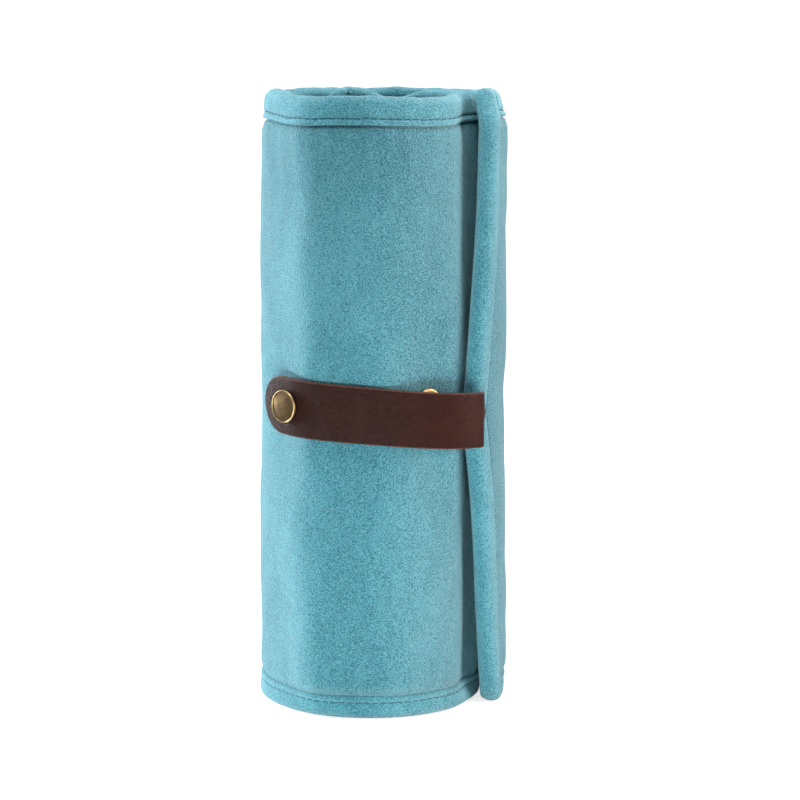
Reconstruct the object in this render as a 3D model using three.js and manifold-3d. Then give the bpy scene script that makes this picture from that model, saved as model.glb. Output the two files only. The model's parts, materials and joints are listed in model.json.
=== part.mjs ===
// Jewelry roll: a padded velvet sheet rolled into a standing spiral and closed by a leather strap.
// The sheet is built as narrow staves with a hinge line between each two, so that it can unroll.
// Units are millimetres and degrees, +Z is up, and the roll stands on z = 0.

import * as THREE from 'three';
import { mergeVertices } from 'three/addons/utils/BufferGeometryUtils.js';
import Module from 'manifold-3d';

const wasm = await Module();
wasm.setup();

// Clearances and facets
const SEAT_GAP = 0.3;            // between pieces that sit on each other
const RUNNING_GAP = 0.4;         // between pieces that slide or part
const ROUND_FACETS = 16;
const DRILL_REACH = 4;           // a drill's length, in thicknesses of what it goes through

// Rolled sheet
const ROLL_HEIGHT = 225;
const FLAP_RADIUS = 48;          // outer face of the cover at the flap's free edge
const FLAP_ANGLE = -47;          // where the free edge lies, counted from +X
const STAVE_COUNT = 15;
const STAVE_ANGLE = 36;
const STAVE_STEPS = 4;
const COVER_THICKNESS = 1.2;
const PAD_THICKNESS = 3.4;       // wadding with its lining
const LAYER_GAP = 2.4;           // between one turn's hem and the next

// Velvet bindings
const BINDING_THICKNESS = 0.7;
const TOP_BINDING = 10;
const BOTTOM_BINDING = 8;
const HEM_FOLD = 1.6;            // rounding of the folded hem
const EDGE_BINDING = 9;          // width of the rolled bindings on the sheet's two ends
const EDGE_CORNER = 8;
const EDGE_ROUND = 2.2;
const EDGE_NOSE_POINTS = 5;
const EDGE_CORNER_STEPS = 3;

// Leather strap
const STRAP_WIDTH = 21;
const STRAP_THICKNESS = 1.8;
const STRAP_BEVEL = 0.4;
const STRAP_ROOT_LENGTH = 7;     // sewn end, up to the line where the strap bends open
const STRAP_ROOT_HEIGHT = 109.3; // middle of the strap at its sewn end
const STRAP_SNAP_HEIGHT = 114.3; // middle of the strap at its snap
const STRAP_END = 11.5;          // from the snap's middle to the tip
const STRAP_DIP = 5;             // how far the strap sinks towards the roll between its ends
const STRAP_STEP = 6;
const STRAP_TIP_STEPS = 5;
const STRAP_TIP_SWING = 84;      // how far round its half circle the tip is followed

// Snap fasteners
const SNAP_ANGLE = 223;
const SPARE_STUD_ANGLE = 298;    // second stud, for a fuller roll
const SPARE_STUD_HEIGHT = 117.4;
const CAP_RADIUS = 6;
const CAP_RISE = 1.7;
const CAP_RIM = 0.9;
const CAP_RIM_WIDEST = 0.6;      // height of the rim's widest line
const CAP_RIM_HEIGHT = 1.2;
const CAP_DISH_HEIGHT = 1.0;     // of the groove inside the rim
const CAP_SHOULDER_RADIUS = 3;
const CAP_SHOULDER_HEIGHT = 1.45;
const POST_RADIUS = 1.5;
const SOCKET_RADIUS = 5;
const SOCKET_THICKNESS = 1.6;
const SOCKET_DEPTH = 1.0;
const STUD_FLANGE_RADIUS = 4;
const STUD_FLANGE = 0.6;
const STUD_NECK_RADIUS = 1.85;
const STUD_HEAD_RADIUS = 2.2;
const STUD_TOP_RADIUS = 1.5;
const STUD_HEAD = 0.9;
const WASHER_RADIUS = 3.6;
const WASHER_THICKNESS = 0.8;

// Ring bar
const RING_STAVE = 7;
const RING_BAR_RADIUS = 7;
const RING_END_MARGIN = 4;       // from the hems' bindings to the ring bar's tabs
const RING_BAR_END = 4;          // rounding of its ends
const RING_TAB_WIDTH = 13;
const RING_TAB_LENGTH = 24;
const RING_FOOT_LENGTH = 10;
const RING_TAB_THICKNESS = 1.2;
const RING_SNAP_RADIUS = 5;
const RING_STUD_THICKNESS = 0.8;

// Zips of the two inner pockets
const ZIP_STAVES = [11, 13];
const ZIP_END_MARGIN = 4;        // from the hems' bindings to the tape's ends
const ZIP_TAPE_WIDTH = 16;
const ZIP_TAPE_THICKNESS = 0.6;
const TOOTH_PITCH = 4;
const TOOTH_REACH = 2;
const TOOTH_SPINE = 0.8;
const TOOTH_THICKNESS = 1.4;
const TEETH_MARGIN = 5;          // from the tape's ends to the row of teeth
const SLIDER_WIDTH = 8.6;
const SLIDER_LENGTH = 10;
const SLIDER_PLATE = 1.2;
const BAIL_LENGTH = 7;
const BAIL_WIDTH = 1.6;
const BAIL_BAR = 0.9;
const BAIL_FOOT = 1.4;
const PULL_WIDTH = 5.4;
const PULL_TOP_WIDTH = 4.3;
const PULL_TIP_WIDTH = 3.2;
const PULL_LENGTH = 24;
const PULL_TAPER = 5;            // length of the taper to its tip
const PULL_THICKNESS = 0.9;
const PULL_BAR = 1.3;

// Sizes that follow from those above
const LINING_FACE = COVER_THICKNESS + SEAT_GAP + PAD_THICKNESS;
const HEM_DEPTH = LINING_FACE + SEAT_GAP + BINDING_THICKNESS;
const PITCH = BINDING_THICKNESS + HEM_DEPTH + LAYER_GAP;
const FULL_TURN = 360;
const LAST_ANGLE = FLAP_ANGLE + STAVE_COUNT * STAVE_ANGLE;
const STRAP_SNAP_ANGLE = SNAP_ANGLE - FULL_TURN;
const STUD_RISE = SEAT_GAP + STUD_FLANGE + STUD_HEAD;
const STRAP_STANDOFF = STUD_RISE + RUNNING_GAP + SOCKET_THICKNESS + SEAT_GAP;
const UP = new THREE.Vector3(0, 0, 1);
const DOWN = new THREE.Vector3(0, 0, -1);
const OUTSIDE = 1;
const INSIDE = -1;

const FINISHES = {
  cover: { color: 0x3f8f96, roughness: 0.95, metalness: 0 },
  lining: { color: 0x4b9aa0, roughness: 0.95, metalness: 0 },
  binding: { color: 0x3a868d, roughness: 0.95, metalness: 0 },
  leather: { color: 0x4a2219, roughness: 0.5, metalness: 0 },
  brass: { color: 0x9a7a45, roughness: 0.35, metalness: 1 },
  tape: { color: 0x2f6f76, roughness: 0.9, metalness: 0 },
};

const rad = THREE.MathUtils.degToRad;

// Spiral

function outerRadius(angle) {
  return FLAP_RADIUS - PITCH * (angle - FLAP_ANGLE) / FULL_TURN;
}

function spot(angle, depth, height) {
  const radius = outerRadius(angle) - depth;
  return new THREE.Vector3(radius * Math.cos(rad(angle)), radius * Math.sin(rad(angle)), height);
}

// The turn that the length makes on the spiral at this angle and depth.
function turnOf(length, angle, depth = 0) {
  return THREE.MathUtils.radToDeg(length / (outerRadius(angle) - depth));
}

function staveMiddle(index) {
  return FLAP_ANGLE + (index + 0.5) * STAVE_ANGLE;
}

// How far the curved sheet comes up beside the middle of a flat piece of this half width.
function flatSag(halfWidth, angle, depth) {
  const radius = outerRadius(angle) - depth;
  const bow = halfWidth ** 2 / (2 * radius);
  const lead = halfWidth * PITCH / (2 * Math.PI * radius);
  const facet = radius * (1 - Math.cos(rad(STAVE_ANGLE / STAVE_STEPS / 2)));
  return bow + lead + facet;
}

// Seats: a turned piece has its axis along the local Y, a plate its face along the local Z,
// and both look away from the sheet, to its outside or its inside.

function seatAxes(angle, side) {
  const across = new THREE.Vector3(-Math.sin(rad(angle)), Math.cos(rad(angle)), 0).multiplyScalar(side);
  const out = new THREE.Vector3(Math.cos(rad(angle)), Math.sin(rad(angle)), 0).multiplyScalar(side);
  return { across, out };
}

function turnedSeat(angle, depth, height, side) {
  const { across, out } = seatAxes(angle, side);
  return new THREE.Matrix4().makeBasis(across, out, DOWN).setPosition(spot(angle, depth, height));
}

function plateSeat(angle, depth, height, side) {
  const { across, out } = seatAxes(angle, side);
  return new THREE.Matrix4().makeBasis(across, UP, out).setPosition(spot(angle, depth, height));
}

// Solids

function signedVolume(positions, triangles) {
  const corner = (index) => new THREE.Vector3().fromArray(positions, 3 * index);
  let volume = 0;
  for (let i = 0; i < triangles.length; i += 3) {
    const [a, b, c] = [0, 1, 2].map((offset) => corner(triangles[i + offset]));
    volume += a.dot(b.cross(c)) / 6;
  }
  return volume;
}

function closedGeometry(positions, triangles) {
  const facingOut = Array.from(triangles);
  if (signedVolume(positions, triangles) < 0) {
    facingOut.reverse();
  }
  const geometry = new THREE.BufferGeometry();
  geometry.setAttribute('position', new THREE.Float32BufferAttribute(Array.from(positions), 3));
  geometry.setIndex(facingOut);
  geometry.computeVertexNormals();
  return geometry;
}

// Merges the shared corners of a three.js shape and drops the slivers at its poles.
function welded(shape) {
  shape.deleteAttribute('normal');
  shape.deleteAttribute('uv');
  const merged = mergeVertices(shape, 1e-4);
  const index = merged.getIndex().array;
  const triangles = [];
  for (let i = 0; i < index.length; i += 3) {
    const [a, b, c] = index.slice(i, i + 3);
    if (a !== b && b !== c && c !== a) {
      triangles.push(a, b, c);
    }
  }
  return closedGeometry(merged.getAttribute('position').array, triangles);
}

function toManifold(geometry) {
  const vertProperties = new Float32Array(geometry.getAttribute('position').array);
  const triVerts = new Uint32Array(geometry.getIndex().array);
  return new wasm.Manifold(new wasm.Mesh({ numProp: 3, vertProperties, triVerts }));
}

function fromManifold(solid) {
  const mesh = solid.getMesh();
  return closedGeometry(mesh.vertProperties, mesh.triVerts);
}

function cut(geometry, cutters) {
  const cleared = cutters.reduce((solid, cutter) => solid.subtract(toManifold(cutter)), toManifold(geometry));
  return fromManifold(cleared);
}

function joined(geometry, addition) {
  return fromManifold(toManifold(geometry).add(toManifold(addition)));
}

// A solid through rings of points, each laid out as the outline is.
function loft(rings, outline) {
  const flat = outline.map(([x, y]) => new THREE.Vector2(x, y));
  if (THREE.ShapeUtils.isClockWise(flat)) {
    flat.reverse();
    rings.forEach((ring) => ring.reverse());
  }
  const count = flat.length;
  const triangles = [];
  for (let ring = 0; ring + 1 < rings.length; ring += 1) {
    for (let i = 0; i < count; i += 1) {
      const a = ring * count + i;
      const b = ring * count + (i + 1) % count;
      triangles.push(a, b, b + count, a, b + count, a + count);
    }
  }
  const last = (rings.length - 1) * count;
  for (const [a, b, c] of THREE.ShapeUtils.triangulateShape(flat, [])) {
    triangles.push(c, b, a, last + a, last + b, last + c);
  }
  return closedGeometry(rings.flat().flatMap((point) => point.toArray()), triangles);
}

// An outline of [depth, height] points carried along the spiral.
function sweep(outline, from, to, steps) {
  const rings = [];
  for (let step = 0; step <= steps; step += 1) {
    const angle = from + (to - from) * step / steps;
    rings.push(outline.map(([depth, height]) => spot(angle, depth, height)));
  }
  return loft(rings, outline);
}

function turned(profile) {
  const points = profile.map(([radius, height]) => new THREE.Vector2(radius, height));
  return welded(new THREE.LatheGeometry(points, ROUND_FACETS));
}

function drill(radius, length, matrix) {
  return welded(new THREE.CylinderGeometry(radius, radius, length, ROUND_FACETS)).applyMatrix4(matrix);
}

function plate(shape, thickness) {
  return welded(new THREE.ExtrudeGeometry(shape, { depth: thickness, bevelEnabled: false }));
}

function outlineShape(points) {
  return new THREE.Shape(points.map(([x, y]) => new THREE.Vector2(x, y)));
}

function part(name, geometry, finish, seat = null) {
  const mesh = new THREE.Mesh(geometry, new THREE.MeshStandardMaterial(FINISHES[finish]));
  mesh.name = name;
  if (seat) {
    mesh.applyMatrix4(seat);
  }
  return mesh;
}

// Sheet: a velvet cover folded over a padded lining, stave by stave

function coverOutline() {
  const top = ROLL_HEIGHT - TOP_BINDING;
  const legInside = HEM_DEPTH - BINDING_THICKNESS;
  const ceiling = ROLL_HEIGHT - HEM_FOLD;
  return [
    [HEM_FOLD - BINDING_THICKNESS, 0], [-BINDING_THICKNESS, HEM_FOLD],
    [-BINDING_THICKNESS, BOTTOM_BINDING - BINDING_THICKNESS], [0, BOTTOM_BINDING],
    [0, top], [-BINDING_THICKNESS, top + BINDING_THICKNESS],
    [-BINDING_THICKNESS, ROLL_HEIGHT - HEM_FOLD], [HEM_FOLD - BINDING_THICKNESS, ROLL_HEIGHT],
    [HEM_DEPTH - HEM_FOLD, ROLL_HEIGHT], [HEM_DEPTH, ROLL_HEIGHT - HEM_FOLD],
    [HEM_DEPTH, top], [legInside, top],
    [legInside, ceiling], [COVER_THICKNESS, ceiling],
    [COVER_THICKNESS, HEM_FOLD], [legInside, HEM_FOLD],
    [legInside, BOTTOM_BINDING], [HEM_DEPTH, BOTTOM_BINDING],
    [HEM_DEPTH, HEM_FOLD], [HEM_DEPTH - HEM_FOLD, 0],
  ];
}

function liningOutline() {
  const front = COVER_THICKNESS + SEAT_GAP;
  const bottom = HEM_FOLD + SEAT_GAP;
  const top = ROLL_HEIGHT - bottom;
  return [[front, bottom], [front, top], [LINING_FACE, top], [LINING_FACE, bottom]];
}

// Where the sheet meets the bindings on its two ends
const flapSeamAngle = FLAP_ANGLE + turnOf(EDGE_BINDING, FLAP_ANGLE);
const innerSeamAngle = LAST_ANGLE - turnOf(EDGE_BINDING, LAST_ANGLE, HEM_DEPTH);

// The stave's two end angles, clear of its neighbours or of the binding on the sheet's end.
function staveSpan(index) {
  const first = index === 0;
  const last = index === STAVE_COUNT - 1;
  const start = first ? flapSeamAngle : FLAP_ANGLE + index * STAVE_ANGLE;
  const end = last ? innerSeamAngle : FLAP_ANGLE + (index + 1) * STAVE_ANGLE;
  const startClear = first ? SEAT_GAP : SEAT_GAP / 2;
  const endClear = last ? SEAT_GAP : SEAT_GAP / 2;
  return [start + turnOf(startClear, start, HEM_DEPTH), end - turnOf(endClear, end, HEM_DEPTH)];
}

const studs = [
  { name: 'snap_stud', angle: SNAP_ANGLE, height: STRAP_SNAP_HEIGHT },
  { name: 'spare_stud', angle: SPARE_STUD_ANGLE, height: SPARE_STUD_HEIGHT },
].map((stud) => ({
  ...stud,
  stave: Math.floor((stud.angle - FLAP_ANGLE) / STAVE_ANGLE),
  washerDepth: COVER_THICKNESS + SEAT_GAP + WASHER_THICKNESS
    + flatSag(WASHER_RADIUS, stud.angle, COVER_THICKNESS),
}));

function coverStave(index) {
  const [from, to] = staveSpan(index);
  const holes = studs.filter((stud) => stud.stave === index).map((stud) => drill(
    POST_RADIUS + SEAT_GAP, DRILL_REACH * COVER_THICKNESS, turnedSeat(stud.angle, 0, stud.height, OUTSIDE)));
  return cut(sweep(coverOutline(), from, to, STAVE_STEPS), holes);
}

function liningStave(index) {
  const [from, to] = staveSpan(index);
  const pockets = studs.filter((stud) => stud.stave === index).map((stud) => {
    const seat = turnedSeat(stud.angle, 0, stud.height, OUTSIDE);
    return drill(WASHER_RADIUS + SEAT_GAP, 2 * (stud.washerDepth + SEAT_GAP), seat);
  });
  return cut(sweep(liningOutline(), from, to, STAVE_STEPS), pockets);
}

// Rolled velvet binding on one end of the sheet: a plump nose, drawn back at the two corners.
// Its outline runs back from the seam on the sheet's end to the nose, between its two faces.
function edgeBindingRing(height, low, high) {
  const short = Math.max(0, EDGE_CORNER - Math.min(height, ROLL_HEIGHT - height));
  const nose = EDGE_CORNER - Math.sqrt(EDGE_CORNER ** 2 - short ** 2);
  const reach = (EDGE_BINDING - nose) / 2;
  const round = Math.min(EDGE_ROUND, reach);
  const outline = [[-round / 2, high], [0, high - round], [0, low + round], [-round / 2, low]];
  for (let i = 0; i < EDGE_NOSE_POINTS; i += 1) {
    const swing = Math.PI * i / (EDGE_NOSE_POINTS - 1);
    const rise = (high - low) / 2 * Math.cos(swing);
    outline.push([nose - EDGE_BINDING + reach * (1 - Math.sin(swing)), (high + low) / 2 - rise]);
  }
  return { outline, ring: outline.map(([x, z]) => new THREE.Vector3(x, height, z)) };
}

function edgeBinding(low, high) {
  const lower = Array.from({ length: EDGE_CORNER_STEPS + 1 }, (_, step) => (
    EDGE_CORNER * (1 - Math.cos(Math.PI / 2 * step / EDGE_CORNER_STEPS))));
  const upper = lower.map((height) => ROLL_HEIGHT - height).reverse();
  const rings = [...lower, ...upper].map((height) => edgeBindingRing(height, low, high));
  return loft(rings.map(({ ring }) => ring), rings[0].outline);
}

function edgeBindings() {
  const flap = edgeBinding(-HEM_DEPTH, BINDING_THICKNESS);
  const innerEnd = edgeBinding(-BINDING_THICKNESS, HEM_DEPTH);
  return [
    part('flap_binding', flap, 'binding', plateSeat(flapSeamAngle, 0, 0, OUTSIDE)),
    part('inner_end_binding', innerEnd, 'binding', plateSeat(innerSeamAngle, 0, 0, INSIDE)),
  ];
}

// Strap

const strapBendAngle = flapSeamAngle - turnOf(STRAP_ROOT_LENGTH, FLAP_ANGLE);

// Radius of the strap's inner face: over the flap's binding, across the front, then over the snap.
function strapInner(angle) {
  const overFlap = FLAP_RADIUS + BINDING_THICKNESS + RUNNING_GAP;
  const overSnap = outerRadius(SNAP_ANGLE) + STRAP_STANDOFF;
  const along = (FLAP_ANGLE - angle) / (FLAP_ANGLE - STRAP_SNAP_ANGLE);
  const share = THREE.MathUtils.clamp(along, 0, 1);
  const dip = STRAP_DIP * Math.sin(Math.PI * share) ** 2;
  return THREE.MathUtils.lerp(overFlap, overSnap, share) - dip;
}

function strapHeight(angle) {
  const share = (flapSeamAngle - angle) / (flapSeamAngle - STRAP_SNAP_ANGLE);
  return THREE.MathUtils.lerp(STRAP_ROOT_HEIGHT, STRAP_SNAP_HEIGHT, share);
}

function strapRing(angle, halfWidth) {
  const bevel = Math.min(STRAP_BEVEL, halfWidth / 2);
  const outline = [
    [0, bevel - halfWidth], [bevel, -halfWidth],
    [STRAP_THICKNESS - bevel, -halfWidth], [STRAP_THICKNESS, bevel - halfWidth],
    [STRAP_THICKNESS, halfWidth - bevel], [STRAP_THICKNESS - bevel, halfWidth],
    [bevel, halfWidth], [0, halfWidth - bevel],
  ];
  const ring = outline.map(([rise, offset]) => {
    const radius = strapInner(angle) + rise;
    return new THREE.Vector3(
      radius * Math.cos(rad(angle)), radius * Math.sin(rad(angle)), strapHeight(angle) + offset);
  });
  return { outline, ring };
}

function strapLoft(stations) {
  const rings = stations.map(({ angle, halfWidth }) => strapRing(angle, halfWidth));
  return loft(rings.map(({ ring }) => ring), rings[0].outline);
}

function strapStations(from, to, halfWidth) {
  const steps = Math.ceil(Math.abs(to - from) / STRAP_STEP);
  return Array.from({ length: steps + 1 }, (_, step) => (
    { angle: from + (to - from) * step / steps, halfWidth }));
}

// Half-round tip: stations that close in from the strap's full width.
function strapTip(startAngle) {
  const radius = STRAP_WIDTH / 2;
  return Array.from({ length: STRAP_TIP_STEPS }, (_, step) => {
    const swing = rad(STRAP_TIP_SWING * (step + 1) / STRAP_TIP_STEPS);
    const ahead = turnOf(radius * Math.sin(swing), SNAP_ANGLE, -STRAP_STANDOFF);
    return { angle: startAngle - ahead, halfWidth: radius * Math.cos(swing) };
  });
}

function strapPieces() {
  const half = STRAP_WIDTH / 2;
  const partingTurn = turnOf(SEAT_GAP, FLAP_ANGLE);
  const tipStart = STRAP_SNAP_ANGLE - turnOf(STRAP_END - half, SNAP_ANGLE, -STRAP_STANDOFF);
  const root = strapLoft(strapStations(flapSeamAngle, strapBendAngle, half));
  const band = strapStations(strapBendAngle - partingTurn, tipStart, half);
  const hole = drill(POST_RADIUS + SEAT_GAP, DRILL_REACH * STRAP_THICKNESS, strapSeat(STRAP_THICKNESS / 2));
  const tongue = cut(strapLoft([...band, ...strapTip(tipStart)]), [hole]);
  return [part('strap_root', root, 'leather'), part('strap', tongue, 'leather')];
}

// Snap: a domed cap with its post through the strap, a socket under it, and two studs on the cover

function strapSeat(rise) {
  return turnedSeat(SNAP_ANGLE, -STRAP_STANDOFF - rise, STRAP_SNAP_HEIGHT, OUTSIDE);
}

function snapCap() {
  const crown = CAP_RADIUS - CAP_RIM;
  const postEnd = -SEAT_GAP - STRAP_THICKNESS - SEAT_GAP - SOCKET_THICKNESS + SOCKET_DEPTH + SEAT_GAP;
  return turned([
    [0, postEnd], [POST_RADIUS, postEnd], [POST_RADIUS, 0], [CAP_RADIUS - CAP_RIM / 2, 0],
    [CAP_RADIUS, CAP_RIM_WIDEST], [CAP_RADIUS - CAP_RIM / 3, CAP_RIM_HEIGHT], [crown, CAP_DISH_HEIGHT],
    [CAP_SHOULDER_RADIUS, CAP_SHOULDER_HEIGHT], [0, CAP_RISE],
  ]);
}

// The socket's hollow takes the stud's head, and a ring above it grips the cap's post.
function snapSocket() {
  const mouth = STUD_HEAD_RADIUS + 2 * RUNNING_GAP;
  const grip = POST_RADIUS + SEAT_GAP;
  return turned([
    [mouth, 0], [SOCKET_RADIUS - RUNNING_GAP, 0], [SOCKET_RADIUS, RUNNING_GAP],
    [SOCKET_RADIUS, SOCKET_THICKNESS], [grip, SOCKET_THICKNESS], [grip, SOCKET_DEPTH],
    [mouth, SOCKET_DEPTH], [mouth, 0],
  ]);
}

function snapStud(washerDepth) {
  const postEnd = -SEAT_GAP - washerDepth;
  const headTop = STUD_FLANGE + STUD_HEAD;
  return turned([
    [0, postEnd], [POST_RADIUS, postEnd], [POST_RADIUS, 0], [STUD_FLANGE_RADIUS, 0],
    [STUD_FLANGE_RADIUS, STUD_FLANGE / 2], [STUD_FLANGE_RADIUS - STUD_FLANGE / 2, STUD_FLANGE],
    [STUD_NECK_RADIUS, STUD_FLANGE], [STUD_HEAD_RADIUS, STUD_FLANGE + STUD_HEAD / 2],
    [STUD_TOP_RADIUS, headTop], [0, headTop],
  ]);
}

function washer() {
  const bore = POST_RADIUS + SEAT_GAP;
  return turned([
    [bore, 0], [WASHER_RADIUS, 0],
    [WASHER_RADIUS, WASHER_THICKNESS], [bore, WASHER_THICKNESS], [bore, 0],
  ]);
}

function snapPieces() {
  const capSeat = strapSeat(STRAP_THICKNESS + SEAT_GAP);
  const socketSeat = strapSeat(-SEAT_GAP - SOCKET_THICKNESS);
  return [
    part('snap_cap', snapCap(), 'brass', capSeat),
    part('snap_socket', snapSocket(), 'brass', socketSeat),
  ];
}

function studPieces({ name, angle, height, washerDepth }) {
  return [
    part(name, snapStud(washerDepth), 'brass', turnedSeat(angle, -SEAT_GAP, height, OUTSIDE)),
    part(`${name}_washer`, washer(), 'brass', turnedSeat(angle, washerDepth, height, OUTSIDE)),
  ];
}

// Ring bar: a stuffed bar sewn to the lining at its foot and snapped to it at its head

const ringAngle = staveMiddle(RING_STAVE);
const ringAxisDepth = LINING_FACE + SEAT_GAP + RING_BAR_RADIUS;
const ringBase = BOTTOM_BINDING + RING_END_MARGIN + RING_FOOT_LENGTH;
const ringTop = ROLL_HEIGHT - TOP_BINDING - RING_END_MARGIN - RING_TAB_LENGTH;
const ringLength = ringTop - ringBase;
const ringStudDepth = LINING_FACE + SEAT_GAP + flatSag(STUD_FLANGE_RADIUS, ringAngle, LINING_FACE);
const ringFootDepth = LINING_FACE + SEAT_GAP + flatSag(RING_TAB_WIDTH / 2, ringAngle, LINING_FACE);
const ringTabDepth = Math.max(ringFootDepth, ringStudDepth + RING_STUD_THICKNESS + SEAT_GAP);

function ringBar() {
  const shoulder = RING_BAR_RADIUS - RING_BAR_END;
  const bend = RING_BAR_END * (1 - Math.SQRT1_2);
  return turned([
    [0, 0], [shoulder, 0], [RING_BAR_RADIUS - bend, bend], [RING_BAR_RADIUS, RING_BAR_END],
    [RING_BAR_RADIUS, ringLength - RING_BAR_END], [RING_BAR_RADIUS - bend, ringLength - bend],
    [shoulder, ringLength], [0, ringLength],
  ]);
}

// Side view of a tab that runs along the lining and turns out to meet the bar's end.
function tabOutline(along, depth) {
  const meet = ringAxisDepth - LINING_FACE + RING_TAB_THICKNESS;
  const low = depth - LINING_FACE;
  const bend = RING_TAB_THICKNESS;
  return [
    [SEAT_GAP, low + bend], [SEAT_GAP + bend / 2, low], [along, low], [along, low + bend],
    [SEAT_GAP + 2 * bend, low + bend], [SEAT_GAP + bend, low + 2 * bend],
    [SEAT_GAP + bend, meet], [SEAT_GAP, meet],
  ];
}

function ringTab(length, depth, direction) {
  const shape = outlineShape(tabOutline(length, depth).map(([along, out]) => [direction * along, out]));
  const band = plate(shape, RING_TAB_WIDTH);
  band.translate(0, 0, -RING_TAB_WIDTH / 2);
  return band;
}

// The tab's side view lies along the height and out from the lining.
function tabSeat(height) {
  const { out } = seatAxes(ringAngle, INSIDE);
  const basis = new THREE.Matrix4().makeBasis(UP, out, UP.clone().cross(out));
  return basis.setPosition(spot(ringAngle, LINING_FACE, height));
}

function ringSnap() {
  const postEnd = -SEAT_GAP - RING_TAB_THICKNESS;
  return turned([
    [0, postEnd], [POST_RADIUS, postEnd], [POST_RADIUS, 0], [RING_SNAP_RADIUS, 0],
    [RING_SNAP_RADIUS, CAP_RIM_WIDEST], [RING_SNAP_RADIUS - CAP_RIM, CAP_RIM_HEIGHT], [0, CAP_RISE],
  ]);
}

function ringStud() {
  return turned([
    [0, 0], [STUD_FLANGE_RADIUS, 0], [STUD_FLANGE_RADIUS, RING_STUD_THICKNESS / 2],
    [STUD_HEAD_RADIUS, RING_STUD_THICKNESS], [0, RING_STUD_THICKNESS],
  ]);
}

function ringPieces() {
  const axis = spot(ringAngle, ringAxisDepth, ringBase);
  const upright = new THREE.Matrix4().makeRotationX(Math.PI / 2).setPosition(axis);
  const snapHeight = ringTop + RING_TAB_LENGTH - RING_TAB_WIDTH / 2;
  const snapDepth = ringTabDepth + RING_TAB_THICKNESS + SEAT_GAP;
  const snapSeat = turnedSeat(ringAngle, snapDepth, snapHeight, INSIDE);
  const tabHole = drill(POST_RADIUS + SEAT_GAP, DRILL_REACH * RING_TAB_THICKNESS, snapSeat);
  const wholeTab = ringTab(RING_TAB_LENGTH, ringTabDepth, 1).applyMatrix4(tabSeat(ringTop));
  const headTab = cut(wholeTab, [tabHole]);
  const footTab = ringTab(RING_FOOT_LENGTH, ringFootDepth, -1).applyMatrix4(tabSeat(ringBase));
  const studSeat = turnedSeat(ringAngle, ringStudDepth, snapHeight, INSIDE);
  return [
    part('ring_bar', ringBar(), 'lining', upright),
    part('ring_bar_foot', footTab, 'binding'),
    part('ring_bar_tab', headTab, 'binding'),
    part('ring_tab_snap', ringSnap(), 'brass', snapSeat),
    part('ring_tab_stud', ringStud(), 'brass', studSeat),
  ];
}

// Zips

const zipBottom = BOTTOM_BINDING + ZIP_END_MARGIN;
const zipTop = ROLL_HEIGHT - TOP_BINDING - ZIP_END_MARGIN;
const teethBottom = zipBottom + TEETH_MARGIN;
const teethTop = zipTop - TEETH_MARGIN;
const tapeFace = LINING_FACE + SEAT_GAP + ZIP_TAPE_THICKNESS;
const channelRoof = TOOTH_THICKNESS + RUNNING_GAP;
const bailWindow = PULL_THICKNESS + 2 * RUNNING_GAP;

function zipTape(middle) {
  const inner = LINING_FACE + SEAT_GAP;
  const half = turnOf(ZIP_TAPE_WIDTH / 2, middle, inner);
  const outline = [[inner, zipBottom], [inner, zipTop], [tapeFace, zipTop], [tapeFace, zipBottom]];
  return sweep(outline, middle - half, middle + half, STAVE_STEPS);
}

// One closed row of teeth: a spine with teeth that step to the two sides in turn.
function zipTeeth() {
  const count = Math.floor((teethTop - teethBottom) / TOOTH_PITCH);
  const tooth = TOOTH_PITCH / 2;
  const right = [];
  const left = [];
  for (let i = 0; i < count; i += 1) {
    const base = i * TOOTH_PITCH;
    right.push([TOOTH_SPINE, base], [TOOTH_REACH, base]);
    right.push([TOOTH_REACH, base + tooth], [TOOTH_SPINE, base + tooth]);
    left.push([-TOOTH_SPINE, base + tooth], [-TOOTH_REACH, base + tooth]);
    left.push([-TOOTH_REACH, base + TOOTH_PITCH], [-TOOTH_SPINE, base + TOOTH_PITCH]);
  }
  const corners = [[-TOOTH_SPINE, 0], ...right, [TOOTH_SPINE, count * TOOTH_PITCH], ...left.reverse()];
  return plate(outlineShape(corners), TOOTH_THICKNESS);
}

// The slider's body straddles the teeth, and a bail on its back carries the pull.
function zipSlider(middle) {
  const half = SLIDER_WIDTH / 2;
  const channel = TOOTH_REACH + RUNNING_GAP;
  const foot = flatSag(half, middle, tapeFace) - flatSag(TOOTH_REACH, middle, tapeFace);
  const roof = channelRoof + SLIDER_PLATE;
  const saddle = plate(outlineShape([
    [-half, foot], [-half, roof], [half, roof], [half, foot],
    [channel, foot], [channel, channelRoof], [-channel, channelRoof], [-channel, foot],
  ]), SLIDER_LENGTH);
  return joined(saddle, zipBail(roof));
}

function zipBail(roof) {
  const sunk = SLIDER_PLATE / 2;
  const height = sunk + bailWindow + BAIL_BAR;
  const half = BAIL_LENGTH / 2;
  const opening = half - BAIL_FOOT;
  const shape = outlineShape([
    [-half, 0], [-half, height - BAIL_BAR], [BAIL_BAR - half, height], [half - BAIL_BAR, height],
    [half, height - BAIL_BAR], [half, 0], [opening, 0], [opening, height - BAIL_BAR],
    [-opening, height - BAIL_BAR], [-opening, 0],
  ]);
  const bail = plate(shape, BAIL_WIDTH);
  bail.translate(0, 0, -BAIL_WIDTH / 2);
  bail.rotateY(Math.PI / 2);
  bail.translate(0, roof - sunk, SLIDER_LENGTH / 2);
  return bail;
}

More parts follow.
